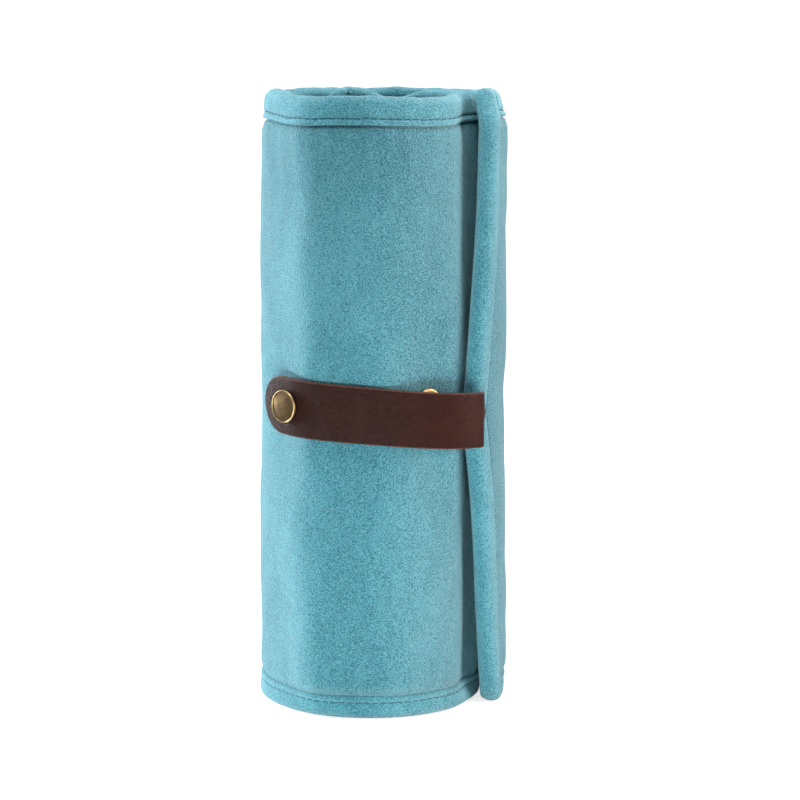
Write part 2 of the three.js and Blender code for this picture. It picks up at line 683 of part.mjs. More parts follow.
// A tag with an eye: its top bar lies in the bail's window, and the bail's lower foot in its eye.
function zipPull() {
  const half = PULL_WIDTH / 2;
  const eye = BAIL_WIDTH / 2 + RUNNING_GAP;
  const bar = PULL_BAR / 2;
  const shape = outlineShape([
    [-PULL_TOP_WIDTH / 2, bar], [PULL_TOP_WIDTH / 2, bar], [half, PULL_TAPER - PULL_LENGTH],
    [PULL_TIP_WIDTH / 2, -PULL_LENGTH], [-PULL_TIP_WIDTH / 2, -PULL_LENGTH],
    [-half, PULL_TAPER - PULL_LENGTH],
  ]);
  const eyeEnd = BAIL_LENGTH / 2 + BAIL_FOOT;
  const hole = [[-eye, -bar], [-eye, -eyeEnd], [eye, -eyeEnd], [eye, -bar]];
  shape.holes.push(new THREE.Path(hole.map(([x, y]) => new THREE.Vector2(x, y))));
  return plate(shape, PULL_THICKNESS);
}

function teethFoot(middle) {
  return tapeFace + SEAT_GAP + flatSag(TOOTH_REACH, middle, tapeFace);
}

function pullDepth(middle) {
  return teethFoot(middle) + channelRoof + SLIDER_PLATE + RUNNING_GAP;
}

function zipPieces(stave, index) {
  const middle = staveMiddle(stave);
  const name = `zip_${index + 1}`;
  const foot = teethFoot(middle);
  const pullHeight = teethTop - SLIDER_LENGTH / 2;
  return [
    part(`${name}_tape`, zipTape(middle), 'tape'),
    part(`${name}_teeth`, zipTeeth(), 'brass', plateSeat(middle, foot, teethBottom, INSIDE)),
    part(`${name}_slider`, zipSlider(middle), 'brass', turnedSeat(middle, foot, teethTop, INSIDE)),
    part(`${name}_pull`, zipPull(), 'brass', plateSeat(middle, pullDepth(middle), pullHeight, INSIDE)),
  ];
}

// Assembly, with the hinge lines of its moving pieces

function staveName(kind, index) {
  return `${kind}_${String(index + 1).padStart(2, '0')}`;
}

const sheet = new THREE.Group();
for (let index = 0; index < STAVE_COUNT; index += 1) {
  sheet.add(part(staveName('cover', index), coverStave(index), 'cover'));
  sheet.add(part(staveName('lining', index), liningStave(index), 'lining'));
}
sheet.add(...edgeBindings());

const closure = new THREE.Group();
closure.add(...strapPieces(), ...snapPieces(), ...studs.flatMap(studPieces));

const fittings = new THREE.Group();
fittings.add(...ringPieces(), ...ZIP_STAVES.flatMap(zipPieces));

const roll = new THREE.Group();
roll.add(sheet, closure, fittings);

// The origin is the middle of the roll's footprint.
const footprint = new THREE.Box3().setFromObject(roll, true).getCenter(new THREE.Vector3());
roll.position.set(-footprint.x, -footprint.y, 0);

function strapHinge(angle) {
  const radius = strapInner(angle) + STRAP_THICKNESS;
  return new THREE.Vector3(radius * Math.cos(rad(angle)), radius * Math.sin(rad(angle)), strapHeight(angle));
}

const hinges = {
  strap_root: strapHinge(flapSeamAngle),
  strap: strapHinge(strapBendAngle),
  ring_bar: spot(ringAngle, ringAxisDepth, ringBase),
};
for (let index = 1; index < STAVE_COUNT; index += 1) {
  hinges[staveName('panel', index)] = spot(FLAP_ANGLE + index * STAVE_ANGLE, -BINDING_THICKNESS, 0);
}
ZIP_STAVES.forEach((stave, index) => {
  const middle = staveMiddle(stave);
  const height = teethTop - SLIDER_LENGTH / 2;
  hinges[`zip_${index + 1}_pull`] = spot(middle, pullDepth(middle) + PULL_THICKNESS / 2, height);
});
roll.userData.hinges = Object.fromEntries(
  Object.entries(hinges).map(([name, point]) => [name, point.add(roll.position).toArray()]));

export default roll;
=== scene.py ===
"""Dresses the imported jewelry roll: a padded velvet sheet, rolled up and closed by a leather strap.

Lengths are metres in the row frame and angles are degrees about the roll's axis. A depth is measured from the
cover's face towards the axis, and a side is -1 on the cover's face and +1 on the lining's face.
"""

import json
import logging
import math
from dataclasses import dataclass, field
from enum import Enum
from typing import Callable, Sequence

import bmesh
import bpy
import numpy as np
from mathutils import Matrix, Vector

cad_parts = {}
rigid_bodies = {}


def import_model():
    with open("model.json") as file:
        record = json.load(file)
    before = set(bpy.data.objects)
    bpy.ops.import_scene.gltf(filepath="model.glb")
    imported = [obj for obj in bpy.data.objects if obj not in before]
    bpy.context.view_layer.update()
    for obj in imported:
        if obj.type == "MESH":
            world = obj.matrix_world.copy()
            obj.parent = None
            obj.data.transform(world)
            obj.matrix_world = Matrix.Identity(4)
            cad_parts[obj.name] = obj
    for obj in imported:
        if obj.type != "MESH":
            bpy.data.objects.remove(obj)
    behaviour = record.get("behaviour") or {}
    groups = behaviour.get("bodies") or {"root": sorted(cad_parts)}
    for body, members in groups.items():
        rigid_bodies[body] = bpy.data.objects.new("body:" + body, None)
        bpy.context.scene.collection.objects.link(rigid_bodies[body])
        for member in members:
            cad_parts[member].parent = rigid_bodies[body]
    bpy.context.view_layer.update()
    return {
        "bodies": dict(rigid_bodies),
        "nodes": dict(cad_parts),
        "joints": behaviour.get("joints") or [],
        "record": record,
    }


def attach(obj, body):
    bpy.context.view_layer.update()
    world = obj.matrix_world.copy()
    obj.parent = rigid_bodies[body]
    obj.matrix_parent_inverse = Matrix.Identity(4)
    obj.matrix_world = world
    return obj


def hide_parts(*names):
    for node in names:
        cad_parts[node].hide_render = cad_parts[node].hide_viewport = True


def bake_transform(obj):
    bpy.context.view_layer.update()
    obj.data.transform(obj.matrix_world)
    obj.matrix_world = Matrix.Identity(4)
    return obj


MM = 0.001
LOG = logging.getLogger("jewelry_roll")

SHEET_HEIGHT = 225.0 * MM
TOP_BINDING = 10.0 * MM
BOTTOM_BINDING = 8.6 * MM
STRAP_HEIGHT = 110.0 * MM
FLAP_ANGLE = -47.0
ZIP_STAVES = (12, 14)
WELD = 1e-7
SNAP_SPOT = (225.5, 114.3 * MM)
SPARE_SPOT = (298.0, 117.0 * MM)

Colour = tuple[float, float, float]
Pairs = tuple[tuple[float, float], ...]
Waves = tuple[tuple[float, ...], ...]
Shape = bmesh.types.BMesh
Piece = bpy.types.Object
Socket = bpy.types.NodeSocket


def ease(share: np.ndarray) -> np.ndarray:
    """Smooth step from 0 to 1 as the share goes from 0 to 1."""
    share = np.clip(share, 0.0, 1.0)
    return share * share * (3.0 - 2.0 * share)


def hump(offset: np.ndarray, width: float) -> np.ndarray:
    """Bell of height 1 around an offset of 0."""
    return np.exp(-np.square(offset / width))


def turn_between(angle: np.ndarray, other: np.ndarray) -> np.ndarray:
    """Shortest turn from the other angle to the angle, between -180 and 180 degrees."""
    return (np.asarray(angle) - other + 180.0) % 360.0 - 180.0


def spline_shares(share: np.ndarray) -> tuple[np.ndarray, ...]:
    """Shares of the four neighbours in a smooth cubic curve, at a share of the way between the middle two."""
    rest = 1.0 - share
    before = rest**3
    after = share**3
    near = 4.0 - 6.0 * share**2 + 3.0 * after
    far = 4.0 - 6.0 * rest**2 + 3.0 * before
    return before / 6.0, near / 6.0, far / 6.0, after / 6.0


def ripples(waves: Waves, turn: np.ndarray, height: np.ndarray) -> np.ndarray:
    """Sum of sine waves round the roll and up it.

    Args:
        waves: Size, steps per radian of turn, steps per metre of height and phase of each wave.
        turn: Turns in radians.
        height: Heights.

    Returns:
        The sums.
    """
    total = 0.0
    for size, around, up, phase in waves:
        total = total + size * np.sin(around * turn + up * height + phase)
    return total


@dataclass(frozen=True)
class Swell:
    """A soft rise of the sheet round an angle, and round a height where it has a reach."""

    size: float
    angle: float
    width: float
    height: float = 0.0
    reach: float = math.inf
    wraps: bool = False

    def at(self, angle: np.ndarray, height: np.ndarray = 0.0) -> np.ndarray:
        """The rise, which is the same on every turn of the roll where it wraps.

        Args:
            angle: Angles of the points.
            height: Heights of the points.

        Returns:
            The rises.
        """
        beside = turn_between(angle, self.angle) if self.wraps else angle - self.angle
        return self.size * hump(beside, self.width) * hump(height - self.height, self.reach)


class Side(Enum):
    """The two faces of the sheet, by the sign that leads away from its padding."""

    COVER = -1.0
    LINING = 1.0


@dataclass(frozen=True)
class Spiral:
    """The rolled sheet's spiral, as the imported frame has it."""

    axis_x: float
    axis_y: float
    flap_radius: float = 48.0 * MM
    flap_angle: float = FLAP_ANGLE
    pitch: float = 9.0 * MM
    stave_angle: float = 36.0
    staves: int = 15

    @classmethod
    def from_joints(cls, joints: Sequence[dict]) -> "Spiral":
        """Finds the spiral's axis from the hinge line between the first two staves.

        Args:
            joints: The frame's joints.

        Returns:
            The spiral in the row frame.
        """
        hinge_rise = 0.7 * MM
        hinge = next(joint for joint in joints if joint["name"] == "fold_01_02")
        flat = cls(0.0, 0.0)
        angle = flat.flap_angle + flat.stave_angle
        reach = flat.radius(angle) + hinge_rise
        x, y = hinge["pos_m"][:2]
        return cls(x - reach * math.cos(math.radians(angle)), y - reach * math.sin(math.radians(angle)))

    def radius(self, angle: np.ndarray) -> np.ndarray:
        """Radius of the cover's face at an angle."""
        return self.flap_radius - self.pitch * (angle - self.flap_angle) / 360.0

    def middle(self, stave: float) -> float:
        """Angle at the middle of a stave, counted from 1."""
        return self.flap_angle + self.stave_angle * (stave - 0.5)

    def place(self, angle: np.ndarray, depth: np.ndarray, height: np.ndarray) -> np.ndarray:
        """Points of the row frame.

        Args:
            angle: Angles about the roll's axis.
            depth: Depths below the cover's face.
            height: Heights above the floor.

        Returns:
            The points, with their coordinates along the last axis.
        """
        angle, depth, height = np.broadcast_arrays(angle, depth, height)
        reach = self.radius(angle) - depth
        turn = np.radians(angle)
        x = self.axis_x + reach * np.cos(turn)
        y = self.axis_y + reach * np.sin(turn)
        return np.stack([x, y, height], axis=-1)

    def point(self, angle: float, depth: float, height: float) -> Vector:
        """One point of the row frame."""
        return Vector(self.place(angle, depth, height))

    def seat(self, angle: float, depth: float, height: float, side: Side) -> Matrix:
        """A seat on the sheet: local X runs across it, local Y up and local Z away from the padding.

        Args:
            angle: Angle of the seat.
            depth: Depth of the seat.
            height: Height of the seat.
            side: Face that the seat looks away from.

        Returns:
            The matrix from the seat to the row frame.
        """
        turn = math.radians(angle)
        out = Vector((math.cos(turn), math.sin(turn), 0.0)) * -side.value
        across = Vector((-math.sin(turn), math.cos(turn), 0.0)) * -side.value
        seat = Matrix((across, Vector((0.0, 0.0, 1.0)), out)).transposed().to_4x4()
        seat.translation = self.point(angle, depth, height)
        return seat


# Finishes


class NodeDesk:
    """Adds nodes to one tree and wires them."""

    def __init__(self, tree: bpy.types.NodeTree) -> None:
        """Takes the tree that the nodes go to."""
        self.tree = tree

    def feed(self, socket: Socket, value: object) -> None:
        """Links another socket to an input, or sets the input's value."""
        if isinstance(value, Socket):
            self.tree.links.new(value, socket)
        else:
            socket.default_value = value

    def add(self, kind: str, settings: dict | None = None, **inputs: object) -> bpy.types.Node:
        """Adds a node.

        Args:
            kind: Node type.
            settings: Properties of the node.
            **inputs: Values or sockets by input name, with _ for a blank, or by _0, _1 and so on.

        Returns:
            The node.
        """
        node = self.tree.nodes.new(kind)
        for name, value in (settings or {}).items():
            setattr(node, name, value)
        for name, value in inputs.items():
            self.feed(node.inputs[int(name[1:]) if name[1:].isdigit() else name.replace("_", " ")], value)
        return node

    def math(self, operation: str, first: object, second: object) -> Socket:
        """The result of one Math node."""
        return self.add("ShaderNodeMath", {"operation": operation}, _0=first, _1=second).outputs[0]

    def total(self, *parts: tuple[object, float]) -> Socket:
        """Sum of some values, each multiplied by its share."""
        scaled = [self.math("MULTIPLY", value, share) for value, share in parts]
        result = scaled[0]
        for addition in scaled[1:]:
            result = self.math("ADD", result, addition)
        return result

    def noise(self, vector: object, scale: float, detail: float = 2.0, roughness: float = 0.55) -> Socket:
        """A noise between about 0.3 and 0.7."""
        node = self.add("ShaderNodeTexNoise", Vector=vector, Scale=scale, Detail=detail, Roughness=roughness)
        return node.outputs["Fac"]

    def span(self, value: object, low: float, high: float, to_low: float = 0.0,
             to_high: float = 1.0) -> Socket:
        """A value moved from one range to another, and clamped."""
        ranges = {"From_Min": low, "From_Max": high, "To_Min": to_low, "To_Max": to_high}
        return self.add("ShaderNodeMapRange", Value=value, **ranges).outputs["Result"]

    def mix(self, share: object, first: object, second: object) -> Socket:
        """Two colours mixed."""
        return self.add("ShaderNodeMix", {"data_type": "RGBA"}, _0=share, _6=first, _7=second).outputs[2]


def opaque(colour: Colour) -> tuple[float, ...]:
    """A colour with full alpha."""
    return (*colour, 1.0)


class Effect(Enum):
    """The shared surface effects, each one shader node group."""

    PILE = "velvet_pile"
    GRAIN = "leather_grain"
    TARNISH = "brass_tarnish"
    WEAVE = "tape_weave"


class EffectShelf:
    """Builds each shared shader group once and hands it to the finishes."""

    INPUTS = (("Vector", "NodeSocketVector"), ("Light", "NodeSocketColor"), ("Deep", "NodeSocketColor"))
    OUTPUTS = (("Color", "NodeSocketColor"), ("Roughness", "NodeSocketFloat"), ("Height", "NodeSocketFloat"))

    def __init__(self) -> None:
        """Starts with an empty shelf."""
        self.groups: dict[Effect, bpy.types.NodeTree] = {}
        self.makers: dict[Effect, Callable] = {
            Effect.PILE: self._pile,
            Effect.GRAIN: self._grain,
            Effect.TARNISH: self._tarnish,
            Effect.WEAVE: self._weave,
        }

    def take(self, effect: Effect) -> bpy.types.NodeTree:
        """The group of an effect, built on first use."""
        if effect not in self.groups:
            self.groups[effect] = self._group(effect)
        return self.groups[effect]

    def _group(self, effect: Effect) -> bpy.types.NodeTree:
        """Makes a group's sockets and fills it.

        Args:
            effect: The effect that the group gives.

        Returns:
            The filled group.
        """
        tree = bpy.data.node_groups.new(effect.value, "ShaderNodeTree")
        for way, sockets in (("INPUT", self.INPUTS), ("OUTPUT", self.OUTPUTS)):
            for name, kind in sockets:
                tree.interface.new_socket(name, in_out=way, socket_type=kind)
        desk = NodeDesk(tree)
        entry = desk.add("NodeGroupInput").outputs
        colour, roughness, height = self.makers[effect](desk, entry["Vector"], entry["Light"], entry["Deep"])
        desk.add("NodeGroupOutput", Color=colour, Roughness=roughness, Height=height)
        return tree

    @staticmethod
    def _pile(desk: NodeDesk, vector: object, light: object, deep: object) -> tuple:
        """Short cut pile: fine specks, brushed patches that run up and down, and broad soft shading."""
        brushed = desk.add("ShaderNodeMapping", Vector=vector, Scale=(1.0, 1.0, 0.45)).outputs[0]
        combed = desk.add("ShaderNodeMapping", Vector=vector, Scale=(1.0, 1.0, 1.5)).outputs[0]
        speck = desk.noise(combed, scale=1850.0, detail=1.0, roughness=0.5)
        patch = desk.noise(brushed, scale=190.0, detail=3.0, roughness=0.6)
        broad = desk.noise(brushed, scale=26.0, detail=2.0, roughness=0.5)
        shade = desk.total((speck, 0.7), (patch, 0.12), (broad, 0.18))
        colour = desk.mix(desk.span(shade, low=0.39, high=0.61), deep, light)
        height = desk.total((speck, 0.85), (patch, 0.15))
        return colour, desk.span(speck, low=0.3, high=0.7, to_low=0.82, to_high=1.0), height

    @staticmethod
    def _grain(desk: NodeDesk, vector: object, light: object, deep: object) -> tuple:
        """Leather grain: small cells with creases between them, and slow changes of tone."""
        warp = desk.noise(vector, scale=420.0)
        cells = desk.add("ShaderNodeTexVoronoi", {"feature": "DISTANCE_TO_EDGE"}, Vector=vector, Scale=1173.0)
        crease = desk.span(cells.outputs["Distance"], low=0.0, high=0.16)
        tone = desk.noise(vector, scale=60.0, detail=3.0)
        shade = desk.total((crease, 0.35), (tone, 0.9))
        colour = desk.mix(desk.span(shade, low=0.4, high=0.95), deep, light)
        height = desk.total((crease, 1.0), (warp, 0.6))
        return colour, desk.span(crease, low=0.0, high=1.0, to_low=0.62, to_high=0.46), height

    @staticmethod
    def _tarnish(desk: NodeDesk, vector: object, light: object, deep: object) -> tuple:
        """Aged brass: dark patches with fine scratches in the bright metal."""
        patch = desk.noise(vector, scale=420.0, detail=4.0, roughness=0.65)
        fine = desk.noise(vector, scale=2600.0, detail=2.0, roughness=0.6)
        shade = desk.total((patch, 0.75), (fine, 0.25))
        colour = desk.mix(desk.span(shade, low=0.4, high=0.62), deep, light)
        return colour, desk.span(shade, low=0.38, high=0.62, to_low=0.58, to_high=0.36), shade

    @staticmethod
    def _weave(desk: NodeDesk, vector: object, light: object, deep: object) -> tuple:
        """Ribbed tape: bands across its length, with uneven threads."""
        bands = {"Scale": 240.0, "Distortion": 0.6, "Detail": 1.0}
        ribs = desk.add("ShaderNodeTexWave", {"bands_direction": "Z"}, Vector=vector, **bands).outputs["Fac"]
        thread = desk.noise(vector, scale=1500.0)
        shade = desk.total((ribs, 0.6), (thread, 0.6))
        colour = desk.mix(desk.span(shade, low=0.2, high=0.95), deep, light)
        return colour, desk.span(thread, low=0.3, high=0.7, to_low=0.65, to_high=0.85), shade


@dataclass(frozen=True)
class Finish:
    """One material: an effect between two colours, and the plain values of its shader."""

    name: str
    effect: Effect
    light: Colour
    deep: Colour
    bump: float
    relief: float
    metallic: float = 0.0
    sheen: float = 0.0
    sheen_roughness: float = 0.35
    sheen_tint: Colour = (1.0, 1.0, 1.0)
    specular: float = 0.5

    def made(self, shelf: EffectShelf) -> bpy.types.Material:
        """Builds the material.

        Args:
            shelf: The shared shader groups.

        Returns:
            The material, with its Principled shader fed by the effect's group.
        """
        material = bpy.data.materials.new(self.name)
        material.use_nodes = True
        desk = NodeDesk(material.node_tree)
        shader = material.node_tree.nodes["Principled BSDF"]
        place = desk.add("ShaderNodeTexCoord").outputs["Object"]
        colours = {"Light": opaque(self.light), "Deep": opaque(self.deep)}
        effect = desk.add("ShaderNodeGroup", {"node_tree": shelf.take(self.effect)}, Vector=place, **colours)
        height = effect.outputs["Height"]
        bump = desk.add("ShaderNodeBump", Strength=self.bump, Distance=self.relief, Height=height)
        values = {
            "Base Color": effect.outputs["Color"],
            "Roughness": effect.outputs["Roughness"],
            "Normal": bump.outputs["Normal"],
            "Metallic": self.metallic,
            "Specular IOR Level": self.specular,
            "Sheen Weight": self.sheen,
            "Sheen Roughness": self.sheen_roughness,
            "Sheen Tint": opaque(self.sheen_tint),
        }
        for name, value in values.items():
            desk.feed(shader.inputs[name], value)
        material.diffuse_color = opaque(self.light)
        return material


def velvet(name: str, light: Colour, deep: Colour, bump: float, relief: float) -> Finish:
    """A velvet: the pile, with a soft sheen."""
    sheen = {"sheen": 0.45, "sheen_roughness": 0.42, "sheen_tint": (0.72, 0.94, 1.0)}
    return Finish(name, Effect.PILE, light, deep, bump, relief, specular=0.3, **sheen)


def brass(name: str, light: Colour, deep: Colour, bump: float, relief: float) -> Finish:
    """A brass: bare metal with some tarnish."""
    return Finish(name, Effect.TARNISH, light, deep, bump, relief, metallic=1.0)


FINISHES = (
    velvet("cover_velvet", (0.098, 0.318, 0.380), (0.014, 0.114, 0.154), 1.0, 1.1 * MM),
    # The lining's velvet is a lighter copy of the cover's velvet: painted light that brightens the hollow
    # inside the roll.
    velvet("lining_velvet", (0.128, 0.405, 0.480), (0.021, 0.150, 0.202), 0.9, 0.6 * MM),
    velvet("binding_velvet", (0.108, 0.349, 0.416), (0.016, 0.126, 0.170), 1.0, 0.75 * MM),
    brass("aged_brass", (0.076, 0.044, 0.0125), (0.038, 0.021, 0.006), 0.2, 0.15 * MM),
    brass("worn_brass", (0.44, 0.32, 0.15), (0.20, 0.14, 0.06), 0.2, 0.1 * MM),
    brass("bright_brass", (0.70, 0.53, 0.25), (0.36, 0.25, 0.10), 0.1, 0.08 * MM),
    Finish("sewing_thread", Effect.WEAVE, (0.035, 0.16, 0.20), (0.014, 0.085, 0.11), 0.4, 0.1 * MM,
           sheen=0.2, specular=0.3),
    Finish("zip_tape_weave", Effect.WEAVE, (0.065, 0.23, 0.285), (0.024, 0.11, 0.145), 0.5, 0.2 * MM,
           sheen=0.15, specular=0.25),
    Finish("strap_leather", Effect.GRAIN, (0.031, 0.0080, 0.0054), (0.016, 0.0039, 0.0026), 0.8, 0.3 * MM,
           specular=0.10),
    Finish("strap_raw_edge", Effect.GRAIN, (0.085, 0.036, 0.025), (0.04, 0.016, 0.011), 0.5, 0.3 * MM,
           specular=0.15),
)


class Wardrobe:
    """All the materials, by name."""

    def __init__(self) -> None:
        """Builds every finish once."""
        shelf = EffectShelf()
        self.materials = {finish.name: finish.made(shelf) for finish in FINISHES}

    def pick(self, *names: str) -> list[bpy.types.Material]:
        """The materials with these names."""
        return [self.materials[name] for name in names]


# Mesh helpers


def index_grid(columns: int, rows: int) -> Shape:
    """A flat grid whose corners carry their own column and row numbers as X and Y.

    Args:
        columns: Number of faces along X.
        rows: Number of faces along Y.

    Returns:
        The grid.
    """
    shape = bmesh.new()
    bmesh.ops.create_grid(shape, x_segments=columns, y_segments=rows, size=0.5)
    for corner in shape.verts:
        corner.co.x = round((corner.co.x + 0.5) * columns)
        corner.co.y = round((corner.co.y + 0.5) * rows)
    return shape


def lay_out(shape: Shape, points: np.ndarray) -> None:
    """Moves the corners of an index grid to their points.

    Args:
        shape: Grid from index_grid.
        points: Points by column and row.
    """
    for corner in shape.verts:
        corner.co = points[int(corner.co.x), int(corner.co.y)]


def paint_rows(shape: Shape, slot_of: Callable[[float, float], int]) -> None:
    """Gives the faces of an index grid their material slots, by the column and row at their middles."""
    for face in shape.faces:
        middle = face.calc_center_median()
        face.material_index = slot_of(middle.x, middle.y)


def close_shape(shape: Shape) -> None:
    """Welds the seams, closes the ends with flat caps and turns every face outwards.

    Args:
        shape: Shape to close.
    """
    bmesh.ops.remove_doubles(shape, verts=shape.verts, dist=WELD)
    rim = [edge for edge in shape.edges if edge.is_boundary]
    for edge in rim:
        edge.smooth = False
    if rim:
        bmesh.ops.holes_fill(shape, edges=rim, sides=0)
    bmesh.ops.recalc_face_normals(shape, faces=shape.faces)


def piece_from(name: str, shape: Shape, materials: Sequence[bpy.types.Material]) -> Piece:
    """Turns a finished shape into a smooth object of the scene.

    Args:
        name: Name of the piece.
        shape: Its shape, which is freed.
        materials: Its material slots.

    Returns:
        The object, at the origin.
    """
    for face in shape.faces:
        face.smooth = True
    mesh = bpy.data.meshes.new(name)
    shape.to_mesh(mesh)
    shape.free()
    for material in materials:
        mesh.materials.append(material)
    piece = bpy.data.objects.new(name, mesh)
    bpy.context.scene.collection.objects.link(piece)
    LOG.info("%s: %d faces", name, len(mesh.polygons))
    return piece


def corners_of(mesh: bpy.types.Mesh) -> np.ndarray:
    """The mesh's corners, one row each."""
    flat = np.empty(3 * len(mesh.vertices), dtype=np.float32)
    mesh.vertices.foreach_get("co", flat)
    return flat.reshape(-1, 3).astype(float)


def take_up(shape: Shape, addition: Shape) -> None:
    """Adds a second shape to a shape, and frees the second.

    Args:
        shape: Shape that grows.
        addition: Shape that is taken up.
    """
    carrier = bpy.data.meshes.new("carrier")
    addition.to_mesh(carrier)
    addition.free()
    shape.from_mesh(carrier)
    bpy.data.meshes.remove(carrier)


def thicken(shape: Shape, faces: Sequence[bmesh.types.BMFace], height: float) -> None:
    """Makes a flat shape a slab.

    Args:
        shape: The flat shape.
        faces: Its faces.
        height: Thickness along Z.
    """
    raised = bmesh.ops.extrude_face_region(shape, geom=faces)["geom"]
    lifted = [item for item in raised if isinstance(item, bmesh.types.BMVert)]
    bmesh.ops.translate(shape, verts=lifted, vec=(0.0, 0.0, height))
    bmesh.ops.recalc_face_normals(shape, faces=shape.faces)


def bevel(shape: Shape, edges: Sequence[bmesh.types.BMEdge], width: float, segments: int) -> None:
    """Rounds off some edges of a shape."""
    form = {"profile": 0.5, "material": -1, "affect": "EDGES"}
    bmesh.ops.bevel(shape, geom=edges, offset=width, segments=segments, **form)


def turned_shape(profile: Pairs, seat: Matrix, segments: int = 56) -> Shape:
    """A shape turned on a seat's local Z axis.

    Args:
        profile: Radius and height of each point, in millimetres.
        seat: Matrix of the seat.
        segments: Steps of the full turn.

    Returns:
        The closed shape.
    """
    shape = bmesh.new()
    corners = [shape.verts.new((radius * MM, 0.0, height * MM)) for radius, height in profile]
    edges = [shape.edges.new(pair) for pair in zip(corners, corners[1:])]
    bmesh.ops.spin(
        shape, geom=corners + edges, cent=(0, 0, 0), axis=(0, 0, 1), angle=math.tau, steps=segments,
        use_merge=True,
    )
    bmesh.ops.remove_doubles(shape, verts=shape.verts, dist=WELD)
    bmesh.ops.recalc_face_normals(shape, faces=shape.faces)
    bmesh.ops.transform(shape, matrix=seat, verts=shape.verts)
    return shape


def seated(piece: Piece, body: str, node: str) -> Piece:
    """Rides a piece on a body, and hides the node that it stands for."""
    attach(piece, body)
    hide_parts(node)
    return piece


def paint_rim(shape: Shape, seat: Matrix, radius: float, slot: int) -> None:
    """Gives the faces outside a radius of the seat's axis another material slot."""
    inverse = seat.inverted()
    for face in shape.faces:
        local = inverse @ face.calc_center_median()
        if math.hypot(local.x, local.y) > radius:
            face.material_index = slot


def band_ring(half: float, thickness: float, edge: float, face_steps: int, corner_steps: int) -> tuple:
    """Section of a flat band with rounded edges.

    Args:
        half: Half of the width.
        thickness: Thickness, from a rise of 0.
        edge: Radius of the edges.
        face_steps: Faces across each flat side.
        corner_steps: Faces round each corner.

    Returns:
        Offset across and rise of each point, from the far face round to itself.
    """
    edge = min(edge, half)
    inset, roof = half - edge, thickness - edge
    turns = np.radians(np.linspace(0.0, 90.0, corner_steps + 1))
    sine, cosine = edge * np.sin(turns), edge * np.cos(turns)
    flat = np.linspace(-1.0, 1.0, face_steps + 1) * inset
    across = [flat, inset + sine[1:], inset + cosine, flat[::-1][1:], -inset - sine[1:], -inset - cosine]
    rise = [np.full_like(flat, thickness), roof + cosine[1:], edge - sine, np.zeros(len(flat) - 1),
            edge - cosine[1:], roof + sine]
    return np.concatenate(across), np.concatenate(rise)


def band_rings(halves: np.ndarray, *form: float) -> tuple[np.ndarray, np.ndarray]:
    """Offsets across and rises of a band's sections, one row for each half width."""
    rings = [band_ring(half, *form) for half in halves]
    return np.array([ring[0] for ring in rings]), np.array([ring[1] for ring in rings])


def swept_band(path: np.ndarray, halves: np.ndarray, thickness: float, edge: float) -> Shape:
    """A band bent along a path in the local Y and Z plane, with its width along local X.

    Args:
        path: Y and Z of the points that the band's ground follows.
        halves: Half of the width at each point.
        thickness: Thickness, to the left of the path.
        edge: Radius of the edges.

    Returns:
        The closed band.
    """
    face_steps, corner_steps = 8, 3
    across, rise = band_rings(halves, thickness, edge, face_steps, corner_steps)
    run = np.gradient(path, axis=0)
    run = run / np.linalg.norm(run, axis=1)[:, None]
    left = np.stack([-run[:, 1], run[:, 0]], axis=1)
    flat = path[:, None, :] + rise[:, :, None] * left[:, None, :]
    shape = index_grid(len(path) - 1, across.shape[1] - 1)
    lay_out(shape, np.concatenate([across[:, :, None], flat], axis=2))
    close_shape(shape)
    return shape


def rounded_end(length: float, half: float, corner: float, step: float) -> tuple[np.ndarray, np.ndarray]:
    """Runs along a band whose far end has rounded corners, and its half width at each.

    Args:
        length: Length of the band.
        half: Half of its full width.
        corner: Radius of the corners.
        step: Distance between the points of the straight part.

    Returns:
        Runs and half widths.
    """
    straight = np.linspace(0.0, length - corner, max(2, math.ceil((length - corner) / step) + 1))
    swing = np.radians(np.linspace(0.0, 90.0, 8))[1:]
    runs = np.concatenate([straight, length - corner + corner * np.sin(swing)])
    halves = np.concatenate([np.full_like(straight, half), half - corner + corner * np.cos(swing)])
    return runs, halves


@dataclass(frozen=True)
class Stitch:
    """One stitch of the sewing thread: a small plump island that lies in its groove."""

    length: float = 2.6 * MM
    radius: float = 0.27 * MM
    pitch: float = 3.0 * MM
    sink: float = 0.08 * MM

    def sew(self, thread: Shape, middle: Vector, along: Vector, out: Vector, slot: int) -> None:
        """Adds the stitch.

        Args:
            thread: Shape of the seam's thread.
            middle: Point of the groove's ground.
            along: Direction of the seam.
            out: Direction away from the cloth.
            slot: Material slot of the thread.
        """
        along = along.normalized()
        out = (out - out.dot(along) * along).normalized()
        across = along.cross(out)
        axes = (across * self.radius, out * self.radius, along * self.length / 2)
        frame = Matrix(axes).transposed().to_4x4()
        frame.translation = middle + out * (self.radius - self.sink) / 2
        made = bmesh.ops.create_uvsphere(thread, u_segments=6, v_segments=5, radius=1.0, matrix=frame)
        for face in {face for corner in made["verts"] for face in corner.link_faces}:
            face.material_index = slot


# The padded sheet


